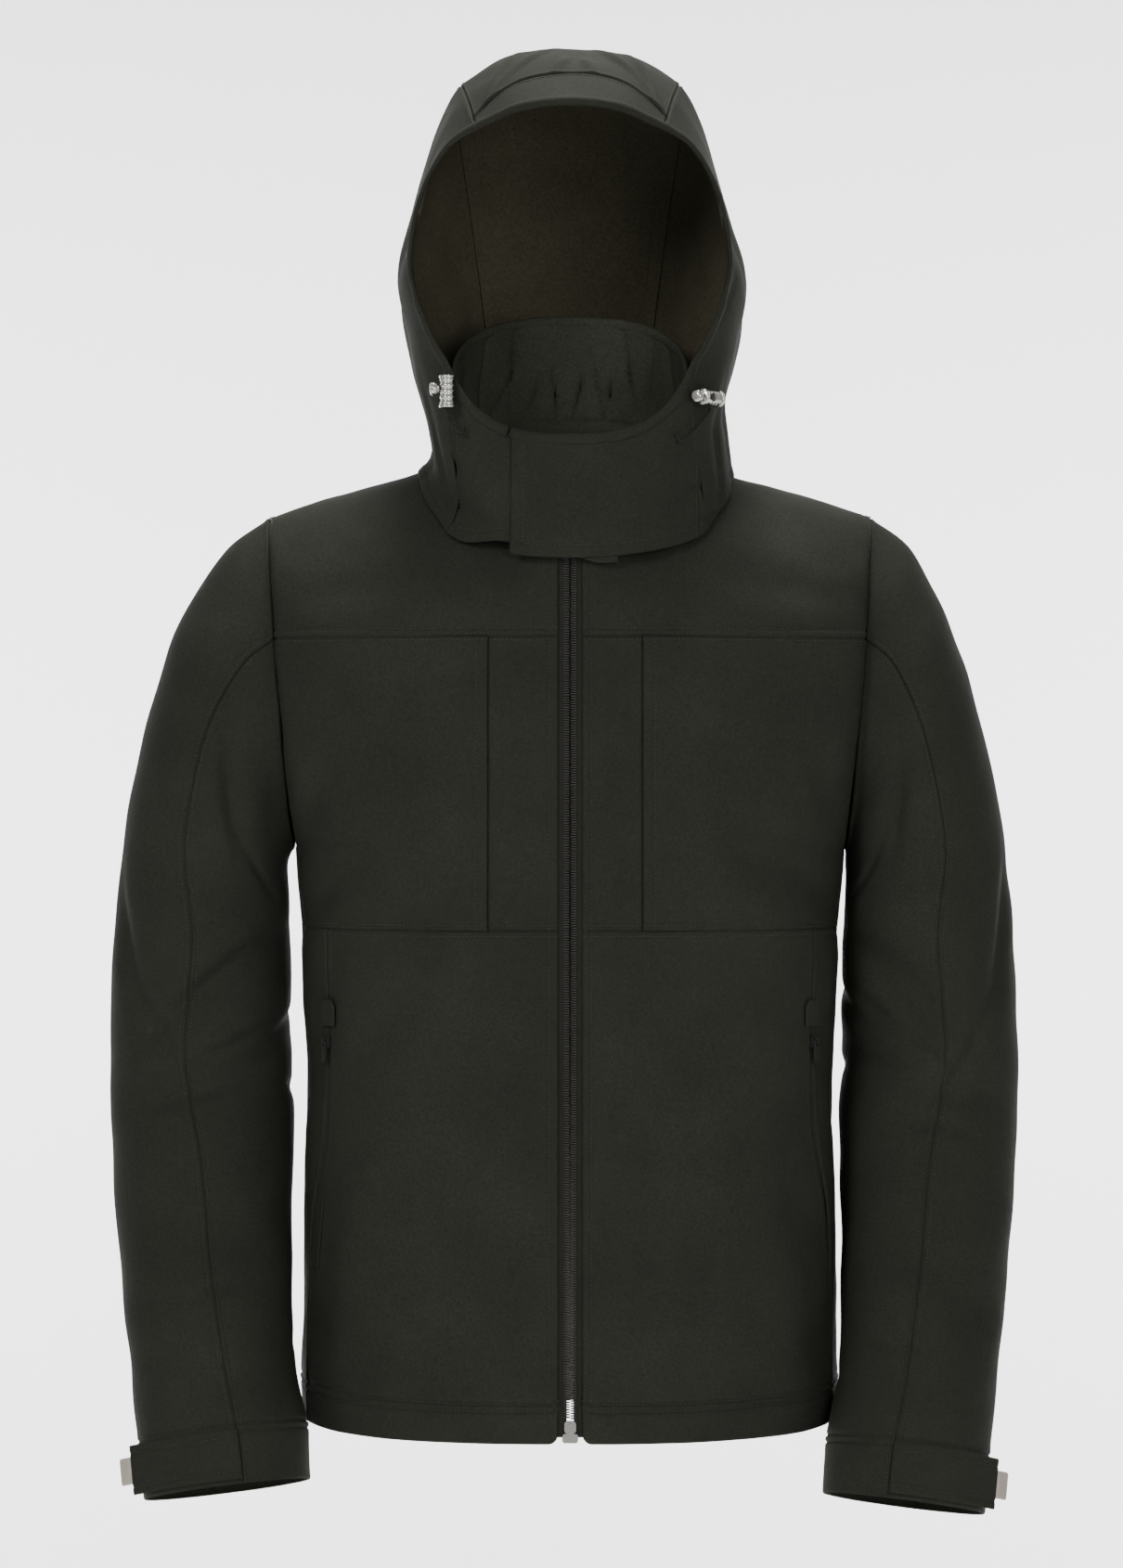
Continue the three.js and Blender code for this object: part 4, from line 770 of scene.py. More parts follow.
class Panel:
    """One sewn piece: a grid over two parameters, raised by its folds and its seams."""

    def __init__(self, name, surface, us, vs, inside, pitch=6.0, close=()):
        self.name = name
        limits = (us, vs)
        self.us = stations(surface, 0, limits, pitch)
        self.vs = stations(surface, 1, limits, pitch, close)
        self.u, self.v = np.meshgrid(self.us, self.vs, indexing="ij")
        self.flat = surface(self.u, self.v)
        self.normals = grid_normals(self.flat, inside)
        self.inside = inside
        self.height = np.zeros(self.u.shape)
        self.rows = []
        gaps = [np.linalg.norm(np.diff(self.flat, axis=k), axis=2) for k in (0, 1)]
        along_u = np.concatenate([np.zeros((1, len(self.vs))), np.cumsum(gaps[0], 0)])
        along_v = np.concatenate(
            [np.zeros((len(self.us), 1)), np.cumsum(gaps[1], 1)], axis=1
        )
        self.away = {
            "u0": along_u,
            "u1": along_u[-1] - along_u,
            "v0": along_v,
            "v1": along_v[:, -1:] - along_v,
        }
        self.cut = (along_u[-1].max(), along_v[:, -1].max())

    def raise_by(self, height):
        self.height += height
        return self

    def seams(self, edges, dip=0.8, puff=0.5):
        """The cloth dips into each seam and puffs up a little beside it."""
        for edge in edges.split():
            d = self.away[edge]
            self.height += puff * bell(d - 2.6, 1.8) - dip * bell(d, 1.3)
        return self

    def turned(self, edges, soft=0.7):
        """A turned edge: rounded off at the border."""
        for edge in edges.split():
            self.height -= soft * bell(self.away[edge], 0.8)
        return self

    def stitch(self, edges, distance, span=(0, 1), deep=0.6, half=1.1):
        """A row of stitches beside a border, in the small furrow that it pulls."""
        for edge in edges.split():
            self.height -= deep * bell(self.away[edge] - distance, half)
            self.rows.append((edge, distance, span))
        return self

    def hem(self, rows):
        """Twin rows of stitches round a hem, with the cloth puffed up between and beside."""
        for row in rows:
            self.stitch("v0" if row > 0 else "v1", abs(row), deep=1.6, half=1.3)
        edge = "v0" if rows[0] > 0 else "v1"
        self.height += 0.9 * bell(self.away[edge] - abs(sum(rows)) / 2, 7)
        return self

    def finish(self):
        self.outer = self.flat + self.normals * self.height[..., None]
        self.normals = grid_normals(self.outer, self.inside)
        return self

    def thread(self):
        return [self.line(*row) for row in self.rows]

    def upright(self, x):
        """Points and normals where the panel crosses a plane of constant x."""
        found = []
        for grid in (self.outer, self.normals):
            rows = [
                [np.interp(x, self.outer[:, j, 0], grid[:, j, k]) for k in range(3)]
                for j in range(grid.shape[1])
            ]
            found.append(np.array(rows))
        return found[0], unit(found[1])

    def line(self, edge, distance, span=(0, 1)):
        """Points and normals along a border, at a distance from it."""
        d = self.away[edge]
        turned = edge[0] == "v"
        d = d if turned else d.T
        p = self.outer if turned else self.outer.transpose(1, 0, 2)
        n = self.normals if turned else self.normals.transpose(1, 0, 2)
        if edge[1] == "1":
            d, p, n = d[:, ::-1], p[:, ::-1], n[:, ::-1]
        found = []
        for grid in (p, n):
            rows = [
                [np.interp(distance, d[i], grid[i, :, k]) for k in range(3)]
                for i in range(len(d))
            ]
            found.append(np.array(rows))
        points, normals = found
        steps = np.linalg.norm(np.diff(points, axis=0), axis=1)
        s = np.concatenate([[0], np.cumsum(steps)]) / steps.sum()
        kept = (s >= span[0] - 1e-9) & (s <= span[1] + 1e-9)
        return points[kept], unit(normals[kept])

    def make(self, material, slot, nodes, wall=CLOTH, held="hung", rests_on=(), lining="fleece"):
        lining = settings()[1][lining]
        made = shell(self.name, self.outer, self.normals, wall, material, lining)
        keep(made, nodes)
        width, length = (round(x * 1e-3 + 0.0005, 3) for x in self.cut)
        return made


def spindles(spots, fats, across, over, wide, high):
    """Points and faces of small closed spindles.

    Spots holds the middles of each ring and fats its share of the full width. Across and
    over are the two directions of a ring, wide and high its points along them."""
    around = len(wide)
    rings = [
        spot[:, None]
        + across[:, None] * (wide * fat)[None, :, None]
        + over[:, None] * (high * fat)[None, :, None]
        for spot, fat in zip(spots, fats)
    ]
    last = around * (len(rings) - 1)
    first = np.arange(len(across))[:, None] * (last + around)
    quads, triangles = [], []
    for k in range(0, last, around):
        for j in range(around):
            i = (j + 1) % around
            quads.append(first + np.array([k + j, k + i, k + around + i, k + around + j]))
    for j in range(1, around - 1):
        triangles.append(first + np.array([0, j + 1, j]))
        triangles.append(first + last + np.array([0, j, j + 1]))
    points = np.stack(rings, axis=1).reshape(-1, 3)
    return points, np.concatenate(quads), np.concatenate(triangles)


# Rings of one stitch: share of its length and how fat it is there
STITCH_SHARES, STITCH_FATS, STITCH_SIDES = (0, 0.22, 0.78, 1), (0.25, 1, 1, 0.25), 5
STITCH_FILL, STITCH_FLAT, STITCH_LIFT = 0.72, 0.38, 0.12


def stitched(rows, size):
    """Points and faces of the thread of many rows: each stitch a small spindle."""
    pitch, wide = size.stitch_pitch * 1e3, size.stitch_wide * 1e3
    turn = np.arange(STITCH_SIDES) * 2 * np.pi / STITCH_SIDES
    parts = []
    total = 0
    for line, normals in rows:
        steps = np.linalg.norm(np.diff(line, axis=0), axis=1)
        s = np.concatenate([[0], np.cumsum(steps)])
        count = int(s[-1] / pitch)
        if count < 1:
            continue
        middle = (np.arange(count) + 0.5) * s[-1] / count
        ends = [middle - pitch * STITCH_FILL / 2, middle + pitch * STITCH_FILL / 2]
        a, b = (np.stack([np.interp(e, s, line[:, k]) for k in range(3)], 1) for e in ends)
        n = unit(np.stack([np.interp(middle, s, normals[:, k]) for k in range(3)], 1))
        along = unit(b - a)
        side = unit(np.cross(n, along))
        points, quads, triangles = spindles(
            [lerp(a, b, share) + n * STITCH_LIFT for share in STITCH_SHARES],
            STITCH_FATS,
            side,
            np.cross(along, side),
            np.cos(turn) * wide / 2,
            np.sin(turn) * wide * STITCH_FLAT,
        )
        parts.append((points, quads + total, triangles + total))
        total += len(points)
    return [np.concatenate(part) for part in zip(*parts)]


def stitching(name, rows, size, material):
    points, quads, triangles = stitched(rows, size)
    return keep(new_mesh(name, points, quads, triangles, material), [])


# Materials


def to_linear(value):
    """An sRGB hex colour as linear red, green and blue."""
    found = []
    for shift in (16, 8, 0):
        c = ((value >> shift) & 255) / 255
        found.append(c / 12.92 if c <= 0.04045 else ((c + 0.055) / 1.055) ** 2.4)
    return tuple(found)


def add_node(tree, kind, settings=None, **links):
    """Adds a node, sets its inputs or properties by name and links others into it."""
    node = tree.nodes.new(kind)
    for name, value in (settings or {}).items():
        if name in node.inputs:
            node.inputs[name].default_value = value
        else:
            setattr(node, name, value)
    for name, source in links.items():
        tree.links.new(source, node.inputs[name.replace("_", " ")])
    return node


def bare_material(name):
    material = bpy.data.materials.get(name)
    if material:
        return material, None, None
    material = bpy.data.materials.new(name)
    material.use_nodes = True
    tree = material.node_tree
    tree.nodes.clear()
    shader = add_node(tree, "ShaderNodeBsdfPrincipled")
    output = add_node(tree, "ShaderNodeOutputMaterial")
    tree.links.new(shader.outputs["BSDF"], output.inputs["Surface"])
    return material, tree, shader


def woven_cloth(name, colour, roughness, sheen, thread=0.55, bump=0.12):
    """Woven or brushed cloth: matt, with a faint grain, slow patches and a fine relief."""
    material, tree, shader = bare_material(name)
    if tree is None:
        return material
    shader.inputs["Roughness"].default_value = roughness
    shader.inputs["IOR"].default_value = 1.5
    shader.inputs["Specular IOR Level"].default_value = 0.15
    shader.inputs["Sheen Weight"].default_value = sheen
    shader.inputs["Sheen Roughness"].default_value = 0.5
    place = add_node(tree, "ShaderNodeTexCoord").outputs["Object"]
    # The real yarn is 0.25 mm; drawn at about 1 mm so that it shows at this distance.
    grain = add_node(
        tree,
        "ShaderNodeTexNoise",
        {"Scale": 1000 / thread / 2, "Detail": 1.0, "Roughness": 0.6},
        Vector=place,
    )
    patchy = add_node(
        tree, "ShaderNodeTexNoise", {"Scale": 16.0, "Detail": 4.0}, Vector=place
    )
    dark, light = (tuple(c * k for c in colour[:3]) + (1,) for k in (0.6, 1.4))
    fine = add_node(
        tree,
        "ShaderNodeMix",
        {"data_type": "RGBA"},
        Factor=grain.outputs["Fac"],
    )
    fine.inputs[6].default_value = dark
    fine.inputs[7].default_value = light
    slow = add_node(
        tree,
        "ShaderNodeMapRange",
        {"From Min": 0.3, "From Max": 0.7, "To Min": 0.87, "To Max": 1.13},
        Value=patchy.outputs["Fac"],
    )
    scaled = add_node(
        tree, "ShaderNodeVectorMath", {"operation": "SCALE"}, Scale=slow.outputs[0]
    )
    tree.links.new(fine.outputs[2], scaled.inputs[0])
    tree.links.new(scaled.outputs[0], shader.inputs["Base Color"])
    relief = add_node(
        tree,
        "ShaderNodeBump",
        {"Strength": bump, "Distance": 0.0006},
        Height=grain.outputs["Fac"],
    )
    tree.links.new(relief.outputs["Normal"], shader.inputs["Normal"])
    return material


def plain_surface(name, colour, roughness, metallic=0.0, grain=0.0, specular=0.5):
    """Moulded, cast or spun surface: one colour with a slight unevenness of gloss."""
    material, tree, shader = bare_material(name)
    if tree is None:
        return material
    shader.inputs["Base Color"].default_value = tuple(colour[:3]) + (1,)
    shader.inputs["Metallic"].default_value = metallic
    shader.inputs["IOR"].default_value = 1.5
    shader.inputs["Specular IOR Level"].default_value = specular
    place = add_node(tree, "ShaderNodeTexCoord").outputs["Object"]
    noise = add_node(
        tree, "ShaderNodeTexNoise", {"Scale": 420.0, "Detail": 2.0}, Vector=place
    )
    gloss = add_node(
        tree,
        "ShaderNodeMapRange",
        {"To Min": roughness * 0.85, "To Max": min(roughness * 1.15, 1.0)},
        Value=noise.outputs["Fac"],
    )
    tree.links.new(gloss.outputs[0], shader.inputs["Roughness"])
    if grain:
        relief = add_node(
            tree,
            "ShaderNodeBump",
            {"Strength": grain, "Distance": 0.0004},
            Height=noise.outputs["Fac"],
        )
        tree.links.new(relief.outputs["Normal"], shader.inputs["Normal"])
    return material


def looks(colours):
    """The jacket's finishes by short name."""
    return {
        # Face cloth: dark olive grey and matt.
        "softshell": woven_cloth("woven_nylon_softshell", colours.softshell, 0.85, 0.0, 1.0),
        # Its brushed fleece inside: browner and duller; its colour is made paler as painted fill light for
        # the shaded inside of the hood.
        "fleece": woven_cloth("brushed_fleece_lining_painted_fill", colours.lining, 0.95, 0.0, 1.1),
        # The collar's cloth: paler than the face, as painted fill light for its shade inside the hood.
        "collar_painted_fill": woven_cloth("woven_nylon_softshell_collar_painted_fill", colours.collar, 0.85, 0.0, 1.0),
        # Zip tape: fine, flat weave.
        "tape": woven_cloth("woven_polyester_tape", colours.tape, 0.85, 0.0, 0.5),
        # Sewing thread: matt polyester, a shade lighter than the cloth.
        "thread": plain_surface("spun_polyester_thread", colours.thread, 0.7, specular=0.2),
        # Moulded sliders and pulls of the side pockets: satin black.
        "nylon": plain_surface("moulded_black_nylon", colours.nylon, 0.42, 0, 0.1),
        # Teeth of the front zip: the same nylon, a little lighter.
        "teeth": plain_surface("moulded_nylon_teeth", colours.teeth, 0.4, 0, 0.1, 0.35),
        # Elastic cord with a braided cover.
        "cord": plain_surface("braided_elastic_cord", colours.nylon, 0.8, 0, 0.4, 0.2),
        # Grip of the cuff tabs: warm grey rubber, matt.
        "rubber": plain_surface("moulded_grey_rubber", colours.rubber, 0.62, 0, 0.15),
        # Plated cord locks and zip metal: bright, with soft mirror streaks.
        "silver": plain_surface("nickel_plated_metal", colours.silver, 0.2, 1.0),
    }


# Sizes and colours


def length_property(title, words, value, least):
    return bpy.props.FloatProperty(
        name=title, description=words, default=value, min=least, unit="LENGTH"
    )


class JacketSizes(bpy.types.PropertyGroup):
    """Sizes a maker would change."""

    stitch_pitch: length_property(
        "Stitch pitch", "Length of one stitch and its gap", 0.0031, 0.001
    )
    stitch_wide: length_property("Thread width", "Width of the sewing thread", 0.00062, 0.0001)
    pitch: length_property(
        "Mesh pitch", "Spacing of the points in the middle of a panel", 0.0055, 0.002
    )
    folds: bpy.props.FloatProperty(
        name="Folds",
        description="How deep the folds of the cloth are",
        default=1.0,
        min=0.0,
        subtype="FACTOR",
    )
    tooth_pitch: length_property(
        "Zip tooth pitch", "Spacing of the teeth of the front zip", 0.0018, 0.001
    )
    floor_drop: length_property(
        "Floor below the hem", "How far the floor lies below the origin", 1.5, 0.9
    )


def colour_property(title, words, value):
    return bpy.props.FloatVectorProperty(
        name=title,
        description=words,
        default=to_linear(value),
        size=3,
        min=0.0,
        max=1.0,
        subtype="COLOR",
    )


class JacketColours(bpy.types.PropertyGroup):
    """Colours of the finishes, kept as linear values of the hex in the default."""

    softshell: colour_property("Softshell", "Face of the cloth", 0x262721)
    # The lining's colour is made paler as painted fill light for the shaded inside of the hood.
    lining: colour_property("Lining", "Inner side of the cloth", 0x4C493B)
    # The collar's colour is made paler than the face as painted fill light for its shade inside the hood.
    collar: colour_property("Collar", "Face of the collar inside the hood", 0x393A32)
    tape: colour_property("Zip tape", "Woven tape of the zips", 0x252620)
    thread: colour_property("Thread", "Sewing thread", 0x34352D)
    nylon: colour_property("Nylon", "Coil, pulls and cord", 0x20201E)
    teeth: colour_property("Teeth", "Teeth of the front zip", 0x2F2E2B)
    rubber: colour_property("Rubber", "Grips of the cuff tabs", 0xA8A196)
    silver: colour_property("Silver", "Cord locks and zip metal", 0xC9C8C2)
    floor: colour_property("Floor", "Floor and backdrop", 0xF7F7F7)


def settings():
    scene = bpy.context.scene
    return scene.jacket_sizes, looks(scene.jacket_colours)


CHEST_MIDDLE = (0, 0, -300)

# Twin rows of stitches above the hem and above the cuff's edge (mm)
HEM_ROWS, CUFF_ROWS = (23.5, 29), (-38, -43.5)

# Distance of the other rows from their borders (mm)
ZIP_ROW, POCKET_ROW, SEAM_ROW, YOKE_ROW, UNDER_YOKE_ROW = 6.5, 8.5, 4, 6, 2.6
TAB_ROW, HOOD_ROW, HOOD_FOOT_ROW, CHIN_ROW, FLAP_ROW = 6, 3.2, 9, 9.2, 9.6


def body_height(panel, is_front):
    """Folds of the body, with a gentle unevenness over them."""
    size = bpy.context.scene.jacket_sizes
    p = panel.flat
    rows = front_folds if is_front else back_folds
    height = troughs(rows, p[..., 0], p[..., 2]) * size.folds
    return height + unevenness(p, 70, 0.5, 11) + unevenness(p, 24, 0.16, 12)


def body_surface(is_front, side, start, end):
    def surface(u, z):
        w = lerp(start(z), end(z), u)
        p = body(is_front, w, z)
        p[..., 2] += hem_lift(is_front, w, np.asarray(z, float))
        return to_side(p, side)

    return surface


def zip_share(z):
    return share_at(ZIP_EDGE, np.minimum(z, YOKE_Z))


def pocket_x(z):
    return pocket_rows.read("x", z)


POCKET_TOP, POCKET_FOOT, POCKET_GAP = -417, -590, 1.1
STRIP_FOOT, GARAGE_HEIGHTS = -598, (-417, -397)


def pocket_gap(z):
    low = smoothstep(z, POCKET_FOOT - 10, POCKET_FOOT)
    return POCKET_GAP * low * (1 - smoothstep(z, POCKET_TOP, POCKET_TOP + 8))


# Stage: the backdrop in millimetres, the lamps and the camera in metres
FLOOR_FRONT, FLOOR_SIDE, BEND_FROM, BEND, WALL_TOP = -5000, 6000.0, 2600, 900, 5000
WORLD_LIGHT, JACKET_MIDDLE = 0.4, (0, 0, -0.25)
EYE, SENSOR, VIEW_WIDE = (-0.0063, -3.4, -0.238), 36, 1.183

# Name, place, width, power and aim of each lamp
LAMPS = (
    ("key", (-1.9, -2.7, 1.3), 0.9, 47, JACKET_MIDDLE),
    ("fill", (1.2, -3.4, 0.2), 1.4, 44, JACKET_MIDDLE),
    ("top", (0.1, 0.3, 2.2), 0.7, 82, JACKET_MIDDLE),
    ("backdrop_wash_left", (-1.95, 1.2, -0.2), 1.6, 160, (-0.975, 3.4, -0.3)),
    ("backdrop_wash_right", (1.95, 1.2, -0.2), 1.6, 160, (0.975, 3.4, -0.3)),
)


class JACKET_OT_stage(bpy.types.Operator):
    """Floor with a curved backdrop, soft studio light and the camera"""

    bl_idname = "jacket.stage"
    bl_label = "Stage"

    def execute(self, context):
        colours = context.scene.jacket_colours
        drop = context.scene.jacket_sizes.floor_drop * 1e3
        arc = np.linspace(0, np.pi / 2, 25)
        ys = np.concatenate([[FLOOR_FRONT], BEND_FROM + BEND * np.sin(arc), [BEND_FROM + BEND]])
        zs = np.concatenate([[0], BEND * (1 - np.cos(arc)), [WALL_TOP]]) - drop
        xs = np.array([-FLOOR_SIDE, FLOOR_SIDE])
        points = point(xs[:, None], ys[None], zs[None]).reshape(-1, 3)
        a = np.arange(len(ys) - 1)
        quads = np.stack([a, a + len(ys), a + len(ys) + 1, a + 1], axis=1)
        paper = plain_surface("matt_paper_backdrop", colours.floor, 0.9)
        new_mesh("floor_and_backdrop", points, quads, [], paper)
        world = bpy.data.worlds.new("studio")
        world.use_nodes = True
        sky = world.node_tree.nodes["Background"].inputs
        sky["Color"].default_value = (1, 1, 1, 1)
        sky["Strength"].default_value = WORLD_LIGHT
        context.scene.world = world
        for name, place, wide, power, aim in LAMPS:
            light = bpy.data.lights.new(name, "AREA")
            light.size, light.energy = wide, power
            lamp = bpy.data.objects.new(name, light)
            lamp.location = place
            way = Vector(aim) - lamp.location
            lamp.rotation_euler = way.to_track_quat("-Z", "Y").to_euler()
            context.scene.collection.objects.link(lamp)
        camera = bpy.data.cameras.new("camera")
        camera.sensor_width = SENSOR
        camera.lens = SENSOR * -EYE[1] / VIEW_WIDE
        eye = bpy.data.objects.new("camera", camera)
        eye.location = EYE
        eye.rotation_euler = (math.pi / 2, 0, 0)
        context.scene.collection.objects.link(eye)
        context.scene.camera = eye
        return {"FINISHED"}


class JACKET_OT_body(bpy.types.Operator):
    """Lower fronts, side panels, chest panels, yokes and back, with their topstitching"""

    bl_idname = "jacket.body"
    bl_label = "Body"

    def execute(self, context):
        size, look = settings()
        pitch = size.pitch * 1e3
        rows = []
        for name, side in SIDES.items():
            opening = POCKET_X[name]

            def opening_share(z, opening=opening):
                return share_at(opening, np.minimum(z, YOKE_Z))

            def ones(z):
                return np.ones_like(z)

            pieces = {
                "front_lower": (
                    zip_share,
                    lambda z: share_at(pocket_x(z) - pocket_gap(z), z),
                    (HEM_Z, CHEST_SEAM_Z),
                ),
                "side_panel": (
                    lambda z: share_at(pocket_x(z) + pocket_gap(z), z),
                    ones,
                    (HEM_Z, CHEST_SEAM_Z),
                ),
                "chest_inner": (zip_share, opening_share, (CHEST_SEAM_Z, YOKE_Z)),
                "chest_outer": (opening_share, ones, (CHEST_SEAM_Z, YOKE_Z)),
            }
            made = {}
            for kind, (start, end, heights) in pieces.items():
                surface = body_surface(True, side, start, end)
                close = HEM_ROWS if heights[0] == HEM_Z else ()
                panel = Panel(
                    f"{kind}_{name}_cloth", surface, (0, 1), heights, CHEST_MIDDLE, pitch, close
                )
                panel.raise_by(body_height(panel, True))
                made[kind] = panel
            made["front_lower"].turned("u0 v0").seams("u1 v1").stitch("u0", ZIP_ROW)
            made["side_panel"].seams("u0 u1 v1").turned("v0")
            for kind in ("front_lower", "side_panel"):
                made[kind].stitch("v1", SEAM_ROW).hem(HEM_ROWS)
            made["chest_inner"].turned("u0").seams("u1 v0 v1")
            made["chest_inner"].stitch("u0", ZIP_ROW).stitch("v0", SEAM_ROW).stitch("v1", UNDER_YOKE_ROW)
            outer = made["chest_outer"]
            outer.raise_by(POCKET_PROUD * (1 - smoothstep(outer.u, 0.02, 0.2)))
            outer.turned("u0", 1.0).seams("u1 v0 v1")
            outer.stitch("u0", POCKET_ROW).stitch("v0 u1", SEAM_ROW).stitch("v1", UNDER_YOKE_ROW)

            def yoke_surface(w, level, side=side):
                return to_side(body(True, w, level), side)

            yoke_start = float(share_at(ZIP_EDGE, YOKE_Z))
            yoke = Panel(
                f"yoke_{name}_cloth",
                yoke_surface,
                (yoke_start, 1),
                (YOKE_Z, YOKE_Z + YOKE_SPAN),
                CHEST_MIDDLE,
                pitch,
            )
            yoke.raise_by(body_height(yoke, True)).seams("u1 v0 v1").turned("u0")
            yoke.stitch("u0", ZIP_ROW).stitch("v0", YOKE_ROW).stitch("u1", SEAM_ROW)
            made["yoke"] = yoke

            def facing_surface(k, z, side=side, opening_share=opening_share):
                return to_side(body(True, opening_share(z) + k, z), side)

            facing = Panel(
                f"pocket_facing_{name}",
                facing_surface,
                (-0.03, 0.04),
                (CHEST_SEAM_Z + 3, YOKE_Z - 3),
                CHEST_MIDDLE,
                pitch,
            )
            facing.raise_by(-(CLOTH + 1.4)).finish().make(look["tape"], "inner_cloth", [], 0.5)
            for kind, panel in made.items():
                panel.finish().make(look["softshell"], "softshell", [f"{kind}_{name}"])
                rows += panel.thread()

        def back_surface(w, level):
            p = body(False, np.abs(w), level)
            p[..., 2] += hem_lift(False, np.abs(w), np.asarray(level, float))
            p[..., 0] *= np.where(np.asarray(w) < 0, -1, 1)
            return p

        heights = (HEM_Z, YOKE_Z + YOKE_SPAN)
        back = Panel("back_cloth", back_surface, (-1, 1), heights, CHEST_MIDDLE, pitch, HEM_ROWS)
        back.raise_by(body_height(back, False)).seams("u0 u1 v1").turned("v0").hem(HEM_ROWS)
        back.finish().make(look["softshell"], "softshell", ["back"])
        rows += back.thread()
        stitching("stitching_body", rows, size, look["thread"])
        return {"FINISHED"}


class JACKET_OT_sleeves(bpy.types.Operator):
    """Upper and under sleeves with their folds, and the sewn cuff hems"""

    bl_idname = "jacket.sleeves"
    bl_label = "Sleeves"

    def execute(self, context):
        size, look = settings()
        pitch = size.pitch * 1e3
        rows = []
        for name, (side, *_) in ARMS.items():

            def upper_turn(u, t):
                low = lerp(-ARM_SEAM, 0, u * 2)
                return np.where(u < 0.5, low, lerp(0, front_seam(t), u * 2 - 1))

            def under_turn(u, t):
                low = lerp(front_seam(t), 0.5, u * 2)
                return np.where(u < 0.5, low, lerp(0.5, BACK_SEAM, u * 2 - 1))

            for kind, turn_at in (("upper", upper_turn), ("under", under_turn)):
                def surface(u, t, turn_at=turn_at, name=name):
                    return sleeve(name, turn_at(u, t), t)

                title, middle = f"sleeve_{kind}_{name}", (270 * side, 0, -350)
                panel = Panel(
                    f"{title}_cloth", surface, (0, 1), (0, 1), middle, 0.55 * pitch, CUFF_ROWS
                )
                turn = turn_at(panel.u, panel.v) % 1
                a, b = turn * SLEEVE_ROUND, panel.v * SLEEVE_LONG
                folds = troughs(sleeve_folds, a, b) + troughs(arm_creases[name], a, b)
                panel.raise_by(folds * size.folds * smoothstep(panel.v, 0.02, 0.1))
                panel.raise_by(unevenness(panel.flat, 60, 0.5, 21))
                panel.seams("u0 u1 v0").turned("v1").hem(CUFF_ROWS)
                panel.stitch("u0 u1", SEAM_ROW, (0.01, 0.99))
                panel.finish().make(look["softshell"], "softshell", [title], lining="softshell")
                rows += panel.thread()
        stitching("stitching_sleeves", rows, size, look["thread"])
        return {"FINISHED"}


TAB_FROM, TAB_TO, TAB_LEAVE, TAB_FREE, TAB_WALL = 0.95, 0.996, 0.125, 31, 1.6
GRIP_FROM, GRIP_TO, GRIP_LONG = 0.24, 0.78, 12


class JACKET_OT_cuff_tabs(bpy.types.Operator):
    """Cuff tabs with their stitched borders and ribbed rubber grips"""

    bl_idname = "jacket.cuff_tabs"
    bl_label = "Cuff tabs"

    def execute(self, context):
        size, look = settings()
        rows = []
        for name in ARMS:

            def tab_turn(u, t):
                return lerp(front_seam(t), TAB_LEAVE, np.minimum(u, 1))

            def tab(u, t, name=name):
                u, t = (np.array(x, float) for x in np.broadcast_arrays(u, t))
                p = sleeve(name, tab_turn(u, t), t)
                ahead = unit(
                    sleeve(name, TAB_LEAVE + 0 * t, t) - sleeve(name, TAB_LEAVE + 0.002, t)
                )
                return p + ahead * (np.maximum(u - 1, 0) * TAB_FREE)[..., None]

            inside = (sleeve(name, 0.15, 0.98) + sleeve(name, 0.65, 0.98)) / 2
            raised = TAB_WALL + 0.4
            panel = Panel(
                f"cuff_tab_{name}_cloth", tab, (0, 2), (TAB_FROM, TAB_TO), inside, 4
            )
            a = tab_turn(panel.u, panel.v) % 1 * SLEEVE_ROUND
            folds = troughs(sleeve_folds, a, panel.v * SLEEVE_LONG)
            panel.raise_by(raised + folds).turned("u1 v0 v1", 0.5).seams("u0", 0.5)
            panel.stitch("v0 v1", TAB_ROW, (0.02, 0.98))
            panel.finish().make(look["softshell"], "softshell", [f"cuff_tab_{name}"], TAB_WALL)
            rows += panel.thread()
            span = TAB_TO - TAB_FROM
            grip = Panel(
                f"cuff_grip_{name}_rubber",
                tab,
                (2, 2 + GRIP_LONG / TAB_FREE),
                (TAB_FROM + span * GRIP_FROM, TAB_FROM + span * GRIP_TO),
                inside,
                0.7,
            )
            ribs = 0.35 * np.cos(grip.away["u0"] * 2 * np.pi / 2.5)
            grip.raise_by(raised + 0.3 + ribs * (grip.away["v0"] > 1.5) * (grip.away["v1"] > 1.5))
            grip.turned("u0 u1 v0 v1", 0.8).finish()
            made = shell(grip.name, grip.outer, grip.normals, 2.2, look["rubber"])
            keep(made, [f"cuff_grip_{name}"])
        stitching("stitching_cuff_tabs", rows, size, look["thread"])
        return {"FINISHED"}


HOOD_MIDDLE = (0, 10, 130)


def hood_start(f):
    """Share u where the hood's cloth goes in under the rolled edge."""
    return np.interp(f, [0, 0.265, CHIN_TOP, 1], [0.001, 0.001, 0.011, 0.013])


def hood_height(panel, f, u, seed):
    size = bpy.context.scene.jacket_sizes
    near = np.where(f > 1, 2 - f, f)
    a = u * HOOD_LONG + np.where(f > 1, 7, 0)
    b = near * HOOD_TALL + np.where(f > 1, -9, 0)
    height = troughs(hood_folds, a, b) * size.folds
    return height + unevenness(panel.flat, 55, 0.5, seed)


